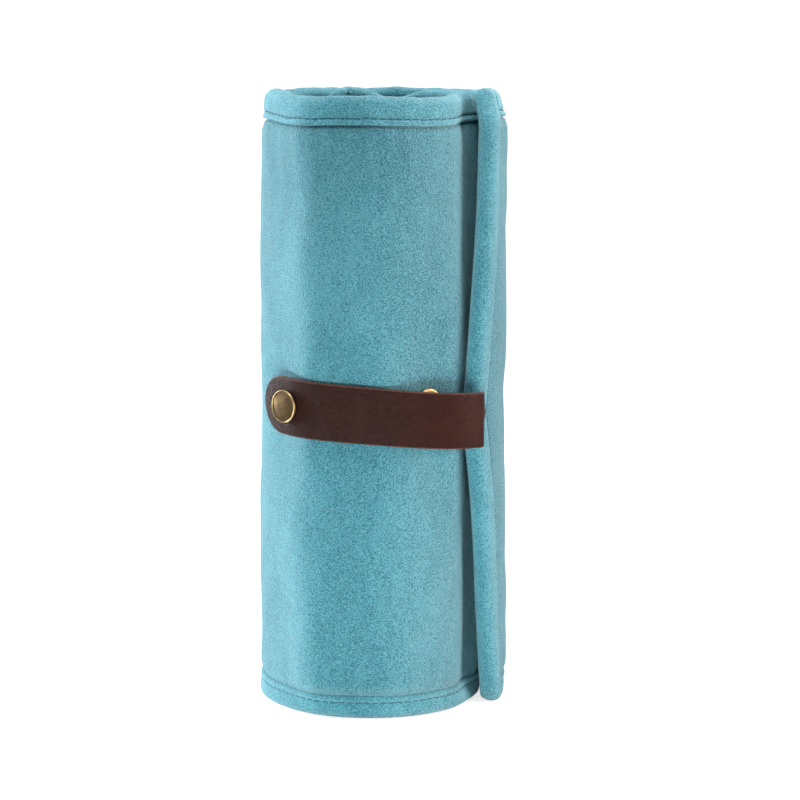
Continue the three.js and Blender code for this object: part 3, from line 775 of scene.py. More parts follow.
@dataclass(frozen=True)
class Drape:
    """How the soft roll leaves the true spiral: tucks, a crease, and the flap that the strap draws in."""

    height: float = SHEET_HEIGHT
    strap_height: float = STRAP_HEIGHT
    tuck_reach: float = 14.0 * MM
    top_tuck: float = 1.0 * MM
    top_tucks: tuple[Swell, ...] = (
        Swell(2.2 * MM, 0.0, 45.0, wraps=True),
        Swell(0.2 * MM, 180.0, 45.0, wraps=True),
    )
    foot_tuck: float = 0.3 * MM
    foot_tucks: tuple[Swell, ...] = (
        Swell(0.6 * MM, 0.0, 45.0, wraps=True),
        Swell(0.5 * MM, 304.0, 34.0),
    )
    flap_tuck: float = 2.2 * MM
    flap_tuck_turn: float = 40.0
    inner_lean: float = 2.6 * MM
    inner_lean_start: float = 400.0
    inner_lean_turn: float = 50.0
    inner_lean_waves: float = 4.0
    waist: Swell = Swell(1.5 * MM, 0.0, 45.0, STRAP_HEIGHT, 26.0 * MM, wraps=True)
    left: Swell = Swell(1.0, 180.0, 45.0, wraps=True)
    left_slack: float = 1.0 * MM
    left_flare: float = 2.4 * MM
    under_flap: Swell = Swell(1.0, 334.0, 13.0)
    under_flap_depth: float = 4.4 * MM
    under_flap_held: float = 0.6 * MM
    under_flap_power: float = 0.7
    under_flap_foot_loss: float = 0.75
    under_flap_top_loss: float = 0.3
    beside_flap: Swell = Swell(2.4 * MM, 313.0, 11.0, STRAP_HEIGHT, 60.0 * MM)
    outer_turn_end: float = 322.0
    outer_turn_fade: float = 26.0
    front: Swell = Swell(2.0 * MM, 268.0, 26.0, wraps=True)
    strap_press: float = 0.7
    strap_press_reach: float = 15.0 * MM
    waves: Waves = (
        (0.3 * MM, 5.0, 31.0, 0.0),
        (0.3 * MM, 3.0, -47.0, 1.3),
        (0.21 * MM, 9.0, 68.0, 0.4),
    )
    crease: float = 2.5 * MM
    crease_width: float = 13.5
    crease_angle: float = 236.0
    crease_wobbles: Waves = ((1.6, 0.0, 52.0, 0.5), (0.96, 0.0, 131.0, 1.9))
    crease_sizes: Waves = ((0.12, 0.0, 87.0, 0.0),)
    crease_top_loss: float = 0.6
    crease_foot_loss: float = 0.8
    left_flat: Swell = Swell(0.4 * MM, -26.0, 11.0)
    right_flat: Swell = Swell(0.7 * MM, 26.0, 12.0)
    right_flat_foot: float = 0.6
    right_flat_gain: float = 0.8
    ridge: Swell = Swell(0.7 * MM, 263.0, 9.0, wraps=True)
    ridge_foot: float = 160.0 * MM
    strap_bulge: Swell = Swell(1.0 * MM, 238.0, 11.0, STRAP_HEIGHT, 24.0 * MM, wraps=True)
    stud_hold: Swell = Swell(1.0, SNAP_SPOT[0], 8.867, SNAP_SPOT[1], 6.5 * MM)
    rim_waves: Waves = (
        (0.27 * MM, 3.1, 0.0, 0.6),
        (0.18 * MM, 5.3, 0.0, 2.0),
        (0.072 * MM, 19.0, 0.0, 0.9),
        (0.054 * MM, 31.0, 0.0, 2.1),
    )
    rim_wave_share: float = 0.15
    rim_lifts: tuple[Swell, ...] = (
        Swell(0.6 * MM, 470.0, 16.0),
        Swell(-3.0 * MM, 440.0, 15.0),
        Swell(0.6 * MM, 83.0, 9.0),
        Swell(1.8 * MM, 192.0, 20.0),
    )
    rim_lift_share: float = 0.1
    flap_lift: float = 2.6 * MM
    flap_lift_end: float = 40.0
    flap_pull_top: float = 17.6
    flap_pull_foot: float = 23.0
    flap_pull_power_top: float = 0.75
    flap_pull_power_foot: float = 0.85
    flap_flare_top: float = 7.5
    flap_flare_foot: float = 1.5
    flap_pull_start: float = 10.0
    flap_pull_full: float = FLAP_ANGLE

    def outward(self, angle: np.ndarray, height: np.ndarray) -> np.ndarray:
        """How far the sheet stands out from the spiral; the stud holds it down.

        Args:
            angle: Angles of the points.
            height: Heights of the points.

        Returns:
            Outward shifts.
        """
        top, foot = self.ends(height)
        pressed = self.strap_press * hump(height - self.strap_height, self.strap_press_reach)
        full = self.front.at(angle) * (1.0 - pressed) + ripples(self.waves, np.radians(angle), height)
        full = full * (1.0 - top) * (1.0 - foot) * self.outer_turn(angle)
        loose = 1.0 - self.stud_hold.at(angle, height)
        return (full + self.creases(angle, height) - self.tucks(angle, height)) * loose

    def creases(self, angle: np.ndarray, height: np.ndarray) -> np.ndarray:
        """How far the front's upright crease, its ridge and the bulge behind the strap's end stand out.

        Args:
            angle: Angles of the points.
            height: Heights of the points.

        Returns:
            Outward shifts.
        """
        beside = turn_between(angle, self.crease_angle + ripples(self.crease_wobbles, 0.0, height))
        size = self.crease * (1.0 + ripples(self.crease_sizes, 0.0, height))
        grown = self.right_flat_foot + self.right_flat_gain * height / self.height
        flats = self.right_flat.at(beside) * grown + self.left_flat.at(beside)
        ridge = ease((height - self.ridge_foot) / (self.height - self.ridge_foot)) * self.ridge.at(angle)
        out = size * hump(beside, self.crease_width) - flats + ridge + self.strap_bulge.at(angle, height)
        top, foot = self.ends(height)
        kept = (1.0 - self.crease_top_loss * top) * (1.0 - self.crease_foot_loss * foot)
        return out * self.outer_turn(angle) * kept

    def tucks(self, angle: np.ndarray, height: np.ndarray) -> np.ndarray:
        """How far the sheet is drawn in at its hems, at its waist, on its left and under the flap.

        Args:
            angle: Angles of the points.
            height: Heights of the points.

        Returns:
            Inward shifts.
        """
        top, foot = self.ends(height)
        flap = self.flap_tuck * ease((self.flap_pull_start - angle) / self.flap_tuck_turn)
        lean = self.inner_lean * ease((angle - self.inner_lean_start) / self.inner_lean_turn)
        lean = lean * (1.0 + np.sin(self.inner_lean_waves * np.radians(angle)))
        tucked = top * (self.top_tuck + sum(tuck.at(angle) for tuck in self.top_tucks) + flap + lean)
        tucked = tucked + foot * (self.foot_tuck + sum(tuck.at(angle) for tuck in self.foot_tucks))
        slack = (self.left_slack - self.left_flare * (1.0 - height / self.height)) * self.left.at(angle)
        tucked = tucked + (self.waist.at(angle, height) + slack) * self.outer_turn(angle)
        freed = self.far_from_strap(height) ** self.under_flap_power
        under = self.under_flap_held + (self.under_flap_depth - self.under_flap_held) * freed
        under = under * (1.0 - self.under_flap_foot_loss * foot) * (1.0 - self.under_flap_top_loss * top)
        return tucked + under * self.under_flap.at(angle) - self.beside_flap.at(angle, height)

    def ends(self, height: np.ndarray) -> tuple[np.ndarray, np.ndarray]:
        """Shares of the tuck at the top and of the tuck at the foot."""
        top = ease((height - self.height + self.tuck_reach) / self.tuck_reach)
        return top, ease((self.tuck_reach - height) / self.tuck_reach)

    def outer_turn(self, angle: np.ndarray) -> np.ndarray:
        """Share of the sheet that lies on the roll's outside, 0 on its inner turn."""
        return ease((self.outer_turn_end - angle) / self.outer_turn_fade)

    def far_from_strap(self, height: np.ndarray) -> np.ndarray:
        """Share of the way from the strap to the nearer end of the roll, 1 at the top."""
        return np.abs(height - self.strap_height) / (self.height - self.strap_height)

    def near_top(self, height: np.ndarray, share: float) -> np.ndarray:
        """Smooth step over the topmost share of the sheet's height."""
        return ease((height - (1.0 - share) * self.height) / (share * self.height))

    def lift(self, angle: np.ndarray, height: np.ndarray) -> np.ndarray:
        """How far the sheet stands above its true height.

        Args:
            angle: Angles of the points.
            height: Heights of the points.

        Returns:
            Upward shifts.
        """
        rim = ripples(self.rim_waves, np.radians(angle), 0.0) * self.near_top(height, self.rim_wave_share)
        lifts = sum(swell.at(angle) for swell in self.rim_lifts) * self.near_top(height, self.rim_lift_share)
        flap_turn = self.flap_lift_end - self.flap_pull_full
        flap = self.flap_lift * ease((self.flap_lift_end - angle) / flap_turn)
        return rim + lifts + flap * height / self.height

    def pull(self, angle: np.ndarray, height: np.ndarray) -> np.ndarray:
        """How far the flap's corners are drawn back round the roll, in degrees.

        Args:
            angle: Angles of the points.
            height: Heights of the points.

        Returns:
            Turns about the roll's axis.
        """
        share = ease((self.flap_pull_start - angle) / (self.flap_pull_start - self.flap_pull_full))
        above = height > self.strap_height
        power = np.where(above, self.flap_pull_power_top, self.flap_pull_power_foot)
        most = np.where(above, self.flap_pull_top, self.flap_pull_foot)
        top, foot = self.ends(height)
        flare = self.flap_flare_top * top + self.flap_flare_foot * foot
        return (most * self.far_from_strap(height) ** power + flare) * share


@dataclass(frozen=True)
class Section:
    """The sheet's upright section: a closed loop over both faces and round the folds of the hems."""

    height: float = SHEET_HEIGHT
    outer_hem: float = -0.7 * MM
    inner_hem: float = 5.9 * MM
    cover_drop: float = 0.7 * MM
    lining_drop: float = 1.0 * MM
    top_binding: float = TOP_BINDING
    bottom_binding: float = BOTTOM_BINDING
    stitch_inset: float = 2.2 * MM
    top_fold: float = 3.0 * MM
    bottom_fold: float = 2.3 * MM
    hem_zone: float = 14.0 * MM
    fine_row: float = 0.35 * MM
    coarse_row: float = 1.4 * MM
    plump: float = 0.35 * MM
    lip: float = 0.15 * MM
    groove: float = 0.5 * MM
    groove_width: float = 0.45 * MM
    fall_start: float = 0.15 * MM
    fall_reach: float = 0.45 * MM
    crease: float = 1.0 * MM
    crease_offset: float = 0.3 * MM
    crease_width: float = 0.35 * MM

    def face_heights(self) -> np.ndarray:
        """Heights of the rows on one face: fine in the hems and coarse between them."""
        low, high = self.bottom_fold, self.height - self.top_fold
        stops = (low, self.hem_zone, self.height - self.hem_zone, high)
        runs = []
        for start, end, step in zip(stops, stops[1:], (self.fine_row, self.coarse_row, self.fine_row)):
            runs.append(np.linspace(start, end, math.ceil((end - start) / step), endpoint=False))
        return np.append(np.concatenate(runs), high)

    def loop(self) -> tuple[np.ndarray, np.ndarray, np.ndarray]:
        """The closed loop, from the bottom fold up the cover, over the top fold and down the lining.

        Returns:
            Depth, height and side of each row; the last row lies on the first.
        """
        middle = (self.outer_hem + self.inner_hem) / 2
        half = (self.inner_hem - self.outer_hem) / 2
        heights = self.face_heights()
        bottom = np.radians(np.linspace(0.0, 90.0, 6))[:-1]
        top = np.radians(np.linspace(-90.0, 90.0, 15))[1:-1]
        foot_height = self.bottom_fold * (1.0 - np.cos(bottom))
        top_height = self.height - self.top_fold * (1.0 - np.cos(top))
        level = np.ones_like(heights)
        depth = [middle - half * np.sin(bottom), level * self.outer_hem, middle + half * np.sin(top),
                 level * self.inner_hem, (middle + half * np.sin(bottom))[::-1]]
        height = [foot_height, heights, top_height, heights[::-1], foot_height[::-1]]
        side = [-np.sin(bottom), -level, np.sin(top), level, np.sin(bottom)[::-1]]
        return np.concatenate(depth), np.concatenate(height), np.concatenate(side)

    def relief(self, height: np.ndarray, side: np.ndarray) -> np.ndarray:
        """Rise of the sewn face above the hem's level: plump hem, groove, fold and drop to the face.

        Args:
            height: Heights of the rows.
            side: Sides of the rows.

        Returns:
            Rises away from the padding.
        """
        nearer_top = height > self.height / 2
        edge = np.where(nearer_top, self.height - height, height)
        binding = np.where(nearer_top, self.top_binding, self.bottom_binding)
        seam = binding - self.stitch_inset
        drop = np.where(side < 0, self.cover_drop, self.lining_drop)
        fallen = ease((edge - binding + self.fall_start) / self.fall_reach)
        rise = self.plump * np.sin(np.pi * np.clip(edge / seam, 0.0, 1.0))
        rise = rise + self.lip * np.sin(np.pi * np.clip((edge - seam) / self.stitch_inset, 0.0, 1.0))
        rise = rise - self.groove * hump(edge - seam, self.groove_width)
        folded = self.crease * hump(edge - binding - self.crease_offset, self.crease_width)
        return rise - drop * fallen - folded

    def levels(self) -> dict[Side, float]:
        """Depth of the hems on each face."""
        return {Side.COVER: self.outer_hem, Side.LINING: self.inner_hem}

    def stitch_lines(self) -> tuple[float, float]:
        """Heights of the two rows of stitches."""
        return self.bottom_binding - self.stitch_inset, self.height - self.top_binding + self.stitch_inset


CLOTH_SETTINGS = {
    "quality": 5,
    "mass": 0.15,
    "tension_stiffness": 15.0,
    "compression_stiffness": 15.0,
    "shear_stiffness": 5.0,
    "bending_stiffness": 0.5,
    "pin_stiffness": 1.0,
    "use_pressure": True,
    "uniform_pressure_force": 4.0,
    "shrink_min": -0.001,
}


@dataclass
class Padding:
    """How the padding swells between the seams: a cloth simulation of the flat sheet, and its puckers."""

    spiral: Spiral
    height: float = SHEET_HEIGHT
    top_binding: float = TOP_BINDING
    bottom_binding: float = BOTTOM_BINDING
    end_binding: float = 9.0 * MM
    seam_reach: float = 4.0 * MM
    mean_radius: float = 42.0 * MM
    studs: Pairs = (SNAP_SPOT, SPARE_SPOT)
    stud_reach: float = 7.0 * MM
    zip_staves: tuple[int, ...] = ZIP_STAVES
    zip_reach: float = 9.5 * MM
    lining_share: float = 0.62
    pucker: float = 0.2 * MM
    pucker_pitch: float = 11.0 * MM
    pucker_reach: float = 8.0 * MM
    pucker_drift: float = 1.4
    pucker_drift_pitch: float = 3.7
    pucker_second: float = 0.6
    pucker_second_steps: float = 1.73
    pucker_second_phase: float = 0.8
    cell: float = 4.5 * MM
    slab_half: float = 1.5 * MM
    loose_hold: float = 0.15
    frames: int = 20
    most_rise: float = 1.6 * MM
    rises: np.ndarray = field(init=False)

    def __post_init__(self) -> None:
        """Blows the padding up once for the whole sheet."""
        self.rises = self.blown()

    def run(self, angle: np.ndarray) -> np.ndarray:
        """Run along the flat sheet from the flap's end."""
        return np.radians(angle - self.spiral.flap_angle) * self.mean_radius

    def cells(self) -> tuple[int, int]:
        """Cells along the flat sheet and up it."""
        length = float(self.run(self.spiral.flap_angle + self.spiral.stave_angle * self.spiral.staves))
        return round(length / self.cell), round(self.height / self.cell)

    def slab(self) -> Piece:
        """Builds the flat sheet as a closed slab: X runs along it, Y up it and Z from cover to lining."""
        shape = index_grid(*self.cells())
        for corner in shape.verts:
            corner.co = Vector((corner.co.x * self.cell, corner.co.y * self.cell, -self.slab_half))
        thicken(shape, shape.faces[:], 2.0 * self.slab_half)
        return piece_from("flat_pad", shape, [])

    def sewn(self, flat: np.ndarray) -> np.ndarray:
        """How firmly the slab's corners are held: fully in the hems, at the studs and under the zips.

        Args:
            flat: The slab's corners.

        Returns:
            Shares between the loose padding's hold and 1.
        """
        along, up, through = flat.T
        length = self.cells()[0] * self.cell
        held = (up < self.bottom_binding) | (up > self.height - self.top_binding)
        held |= (along < self.end_binding) | (along > length - self.end_binding)
        for angle, height in self.studs:
            held |= (through < 0.0) & (np.hypot(along - self.run(angle), up - height) < self.stud_reach)
        for stave in self.zip_staves:
            middle = self.run(self.spiral.middle(stave))
            held |= (through > 0.0) & (np.abs(along - middle) < self.zip_reach)
        return np.where(held, 1.0, self.loose_hold)

    def blown(self) -> np.ndarray:
        """Blows the slab up between its seams with the cloth simulation, and takes the slab away again.

        Returns:
            Rises by face (cover, lining), column and row.
        """
        pad = self.slab()
        flat = corners_of(pad.data)
        group = pad.vertex_groups.new(name="sewn")
        for index, hold in enumerate(self.sewn(flat)):
            group.add([index], float(hold), "REPLACE")
        cloth = pad.modifiers.new("padding", "CLOTH")
        for name, value in CLOTH_SETTINGS.items():
            setattr(cloth.settings, name, value)
        cloth.settings.vertex_group_mass = group.name
        cloth.settings.effector_weights.gravity = 0.0
        cloth.collision_settings.use_collision = False
        cloth.collision_settings.use_self_collision = False
        cloth.point_cache.frame_start, cloth.point_cache.frame_end = 1, self.frames
        scene = bpy.context.scene
        for frame in range(1, self.frames + 1):
            scene.frame_set(frame)
        moved = corners_of(pad.evaluated_get(bpy.context.evaluated_depsgraph_get()).data)
        bpy.data.meshes.remove(pad.data)
        scene.frame_set(1)
        away = np.sign(flat[:, 2])
        columns, rows = np.rint(flat[:, :2] / self.cell).astype(int).T
        rises = np.zeros((2, columns.max() + 1, rows.max() + 1))
        rises[(away > 0).astype(int), columns, rows] = np.clip(
            (moved[:, 2] - flat[:, 2]) * away, -self.most_rise, self.most_rise
        )
        LOG.info("padding: mean rise %.2f mm, most %.2f mm", rises.mean() / MM, rises.max() / MM)
        return rises

    def rise(self, face: int, angle: np.ndarray, height: np.ndarray) -> np.ndarray:
        """Simulated rise of a face, smooth between the slab's corners.

        Args:
            face: 0 for the cover, 1 for the lining.
            angle: Angles of the points.
            height: Heights of the points.

        Returns:
            Rises away from the padding.
        """
        along, up = np.broadcast_arrays(self.run(angle) / self.cell, height / self.cell)
        last = np.array(self.rises.shape[1:]) - 1
        column, row = np.floor(along).astype(int), np.floor(up).astype(int)
        total = np.zeros(along.shape)
        for across, share in enumerate(spline_shares(along - column)):
            for above, part in enumerate(spline_shares(up - row)):
                spot = np.clip(column + across - 1, 0, last[0]), np.clip(row + above - 1, 0, last[1])
                total = total + share * part * self.rises[face][spot]
        return total

    def swell(self, angle: np.ndarray, height: np.ndarray, side: np.ndarray) -> np.ndarray:
        """Rise of the padded face.

        Args:
            angle: Angles of the points.
            height: Heights of the points.
            side: Sides of the points.

        Returns:
            Rises away from the padding.
        """
        near = np.minimum(height - self.bottom_binding, self.height - self.top_binding - height)
        near = np.maximum(near, 0.0)
        phase = math.tau * self.run(angle) / self.pucker_pitch
        drift = self.pucker_drift * np.sin(phase / self.pucker_drift_pitch)
        second = np.sin(self.pucker_second_steps * phase + self.pucker_second_phase)
        ripple = np.sin(phase + drift) + self.pucker_second * second
        ripple = self.pucker * ripple * np.exp(-near / self.pucker_reach)
        lining = self.lining_share * (self.rise(1, angle, height) + ripple)
        padded = np.where(side < 0, self.rise(0, angle, height) + ripple, lining)
        return padded * ease(near / self.seam_reach) * np.abs(side)


class SheetSlot(Enum):
    """Material slots of the sheet's pieces."""

    COVER = 0
    LINING = 1
    BINDING = 2
    THREAD = 3


@dataclass(frozen=True)
class SheetEnd:
    """A bound end of the sheet."""

    name: str
    body: str
    border: float
    tip: float
    binding: float
    corner: float = 8.0 * MM
    nose: float = 3.4 * MM
    plump: float = 0.55 * MM
    groove: float = 0.95 * MM
    groove_width: float = 0.6 * MM
    hem_start: float = 0.3 * MM
    hem_reach: float = 1.2 * MM
    seam_margin: float = 6.0 * MM
    hem_gap: float = 1.5 * MM
    nodes: tuple[str, ...] = ()


@dataclass
class VelvetSheet:
    """The padded sheet: one piece from the middle of each stave to the next, and two bound ends."""

    spiral: Spiral
    wardrobe: Wardrobe
    padding: Padding
    drape: Drape = field(default_factory=Drape)
    section: Section = field(default_factory=Section)
    stitch: Stitch = field(default_factory=Stitch)
    column_turn: float = 1.2
    bend_depth: float = 8.5 * MM
    bend_margin: float = 3.0
    flap_bend_margin: float = 14.5
    end_column: float = 0.4 * MM
    seam_turn: float = 0.5
    seam_step: float = 0.5 * MM
    fill: float = 0.45
    materials: tuple[str, ...] = ("cover_velvet", "lining_velvet", "binding_velvet", "sewing_thread")

    def ends(self) -> tuple[SheetEnd, SheetEnd]:
        """The flap's end, which the strap draws in, and the end inside the roll."""
        spiral = self.spiral
        flap = SheetEnd("velvet_flap_end", "panel_01", spiral.middle(1), tip=-46.4, binding=9.6 * MM,
                        corner=6.0 * MM, nodes=("cover_01", "lining_01", "flap_binding"))
        last = spiral.flap_angle + spiral.stave_angle * spiral.staves
        inner = SheetEnd("velvet_inner_end", "panel_15", spiral.middle(spiral.staves), tip=last,
                         binding=8.0 * MM, nodes=("inner_end_binding",))
        return flap, inner

    def skin(self, angle: np.ndarray, depth: np.ndarray, height: np.ndarray) -> np.ndarray:
        """Points of the draped sheet."""
        drawn = angle + self.drape.pull(angle, height)
        out = self.drape.outward(drawn, height)
        return self.spiral.place(drawn, depth - out, height + self.drape.lift(drawn, height))

    def face(self, angle: np.ndarray, depth: np.ndarray, height: np.ndarray, side: np.ndarray) -> np.ndarray:
        """Points of the sewn and padded face between the ends.

        Args:
            angle: Angles of the points.
            depth: Depths of the hems' level.
            height: Heights of the points.
            side: Sides of the points.

        Returns:
            The points.
        """
        rise = self.section.relief(height, side) + self.padding.swell(angle, height, side)
        return self.skin(angle, depth + side * rise, height)

    def slot_of_row(self, height: float, side: float) -> int:
        """Material slot of a row between the ends."""
        if self.section.bottom_binding < height < self.section.height - self.section.top_binding:
            return (SheetSlot.COVER if side < 0 else SheetSlot.LINING).value
        return SheetSlot.BINDING.value

    def row_slots(self) -> list[int]:
        """Material slot of each face of the section's loop."""
        _, height, side = self.section.loop()
        middles = zip((height[1:] + height[:-1]) / 2, (side[1:] + side[:-1]) / 2)
        return [self.slot_of_row(middle, face) for middle, face in middles]

    def stitch_angles(self, start: float, end: float) -> list[float]:
        """Angles of the stitches between two angles, on one count along the whole sheet."""
        angles = []
        angle = self.spiral.flap_angle
        while angle < end:
            if angle >= start:
                angles.append(angle)
            angle += math.degrees(self.stitch.pitch / self.spiral.radius(angle))
        return angles

    def sew_hems(self, shape: Shape, start: float, end: float) -> None:
        """Sews the rows of stitches along the hems on both faces.

        Args:
            shape: Shape that takes the stitches.
            start: Angle where the rows start.
            end: Angle where the rows end.
        """
        thread = bmesh.new()
        for side, level in self.section.levels().items():
            for height in self.section.stitch_lines():
                for angle in self.stitch_angles(start, end):
                    turns = angle + np.array([-1.0, 0.0, 1.0]) * self.seam_turn
                    before, middle, after = self.face(turns, level, height, side.value)
                    turn = math.radians(angle)
                    out = Vector((math.cos(turn), math.sin(turn), 0.0)) * -side.value
                    along = Vector(after - before)
                    self.stitch.sew(thread, Vector(middle), along, out, SheetSlot.THREAD.value)
        take_up(shape, thread)

    def stave_piece(self, number: int) -> Piece:
        """Builds the piece of the sheet between the middles of two staves.

        Args:
            number: The first of the two staves, counted from 1.

        Returns:
            The piece, which rides on no body.
        """
        start, end = self.spiral.middle(number), self.spiral.middle(number + 1)
        depth, height, side = self.section.loop()
        columns = round((end - start) / self.column_turn)
        shape = index_grid(columns, len(depth) - 1)
        slots = self.row_slots()
        paint_rows(shape, lambda column, row: slots[int(row)])
        angles = np.linspace(start, end, columns + 1)[:, None]
        lay_out(shape, self.face(angles, depth[None, :], height[None, :], side[None, :]))
        close_shape(shape)
        self.sew_hems(shape, start, end)
        piece = self.dressed(f"velvet_stave_{number:02d}", shape)
        self.bend(piece, number)
        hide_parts(f"cover_{number + 1:02d}", f"lining_{number + 1:02d}")
        return piece

    def bend(self, piece: Piece, number: int) -> None:
        """Bakes a piece's place into its mesh; the points where it would bend between two staves are worked
        out but not used.

        Args:
            piece: Piece that lies on the sheet between the middles of both staves.
            number: The first of the two staves, counted from 1.
        """
        start, end = self.spiral.middle(number), self.spiral.middle(number + 1)
        margin = self.flap_bend_margin if number == 1 else self.bend_margin
        self.spiral.point(start + margin, self.bend_depth, 0.0)
        self.spiral.point(end - self.bend_margin, self.bend_depth, 0.0)
        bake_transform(piece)

    def dressed(self, name: str, shape: Shape) -> Piece:
        """Makes a piece of the sheet with the sheet's materials."""
        piece = piece_from(name, shape, self.wardrobe.pick(*self.materials))
        return piece

    def end_columns(self, end: SheetEnd) -> tuple[np.ndarray, np.ndarray, float]:
        """Columns of a bound end, from its nose to its border.

        Args:
            end: The bound end.

        Returns:
            Run of each column from the nose, its share of the full thickness, and the run to the border.
        """
        reach = abs(math.radians(end.border - end.tip)) * float(self.spiral.radius(end.tip))
        round_turn = np.radians(np.linspace(0.0, 90.0, 11))
        steps = math.ceil((reach - end.nose) / self.end_column)
        flat = np.linspace(end.nose, reach, steps + 1)[1:]
        runs = np.concatenate([end.nose * (1.0 - np.cos(round_turn)), flat])
        shares = np.concatenate([np.sin(round_turn), np.ones_like(flat)])
        return runs, shares, reach

    def end_angle(self, end: SheetEnd, run: np.ndarray, reach: float, height: np.ndarray) -> np.ndarray:
        """Angle of a point of a bound end, with its corners rounded off.

        Args:
            end: The bound end.
            run: Runs from the nose.
            reach: Run to the border.
            height: Heights of the points.

        Returns:
            The angles.
        """
        edge = np.minimum(height, self.section.height - height)
        into = np.clip(end.corner - edge, 0.0, end.corner)
        retreat = end.corner - np.sqrt(np.maximum(end.corner**2 - into**2, 0.0))
        shifted = run + retreat * (1.0 - run / reach)
        return end.tip + (end.border - end.tip) * shifted / reach

    def end_face(self, end: SheetEnd, run: np.ndarray, share: np.ndarray, reach: float,
                 rows: tuple[np.ndarray, np.ndarray, np.ndarray]) -> np.ndarray:
        """Points of a bound end.

        Args:
            end: The bound end.
            run: Runs from the nose, as a column.
            share: Shares of the full thickness, as a column.
            reach: Run to the border.
            rows: Depth, height and side of the rows.

        Returns:
            The points.
        """
        depth, height, side = rows
        angle = self.end_angle(end, run, reach, height)
        hemmed = ease((run - end.binding + end.hem_start) / end.hem_reach)
        rise = hemmed * (self.section.relief(height, side) + self.padding.swell(angle, height, side))
        rise = rise + end.plump * np.sin(np.pi * np.clip(run / end.binding, 0.0, 1.0)) * np.abs(side)
        rise = rise - end.groove * hump(run - end.binding, end.groove_width) * np.abs(side)
        middle = (self.section.outer_hem + self.section.inner_hem) / 2
        return self.skin(angle, middle + share * (depth + side * rise - middle), height)

    def end_piece(self, end: SheetEnd) -> Piece:
        """Builds a bound end of the sheet.

        Args:
            end: The bound end.

        Returns:
            The piece, riding on its stave's body.
        """
        runs, shares, reach = self.end_columns(end)
        rows = self.section.loop()
        shape = index_grid(len(runs) - 1, len(rows[0]) - 1)
        slots = self.row_slots()
        bound = int(np.searchsorted(runs, end.binding))
        paint_rows(shape, lambda column, row: SheetSlot.BINDING.value if column < bound else slots[int(row)])
        flat_rows = tuple(row[None, :] for row in rows)
        points = self.end_face(end, runs[:, None], shares[:, None], reach, flat_rows)
        lay_out(shape, points)
        close_shape(shape)
        self.sew_end(shape, end, reach)
        piece = self.dressed(end.name, shape)
        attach(piece, end.body)
        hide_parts(*end.nodes)
        return piece

    def sew_end(self, shape: Shape, end: SheetEnd, reach: float) -> None:
        """Sews the upright seam of a bound end on both faces, and the hems beside it.

        Args:
            shape: Shape that takes the stitches.
            end: The bound end.
            reach: Run from the nose to the border.
        """
        thread = bmesh.new()
        heights = np.arange(end.seam_margin, self.section.height - end.seam_margin, self.stitch.pitch)
        for side, level in self.section.levels().items():
            for height in heights:
                stack = height + np.array([-1.0, 0.0, 1.0]) * self.seam_step
                rows = (np.full(3, level), stack, np.full(3, side.value))
                before, middle, after = self.end_face(end, end.binding, 1.0, reach, rows)
                out = Vector((middle[0] - self.spiral.axis_x, middle[1] - self.spiral.axis_y, 0.0))
                along = Vector(after - before)
                self.stitch.sew(thread, Vector(middle), along, out * -side.value, SheetSlot.THREAD.value)
        take_up(shape, thread)
        seam = end.tip + (end.border - end.tip) * (end.binding + end.hem_gap) / reach
        self.sew_hems(shape, min(seam, end.border), max(seam, end.border))

    def build(self) -> None:
        """Builds the whole sheet."""
        for end in self.ends():
            self.end_piece(end)
        for number in range(1, self.spiral.staves):
            self.stave_piece(number)


# The strap and its snap


class StrapSlot(Enum):
    """Material slots of the strap."""

    GRAIN = 0
    RAW = 1


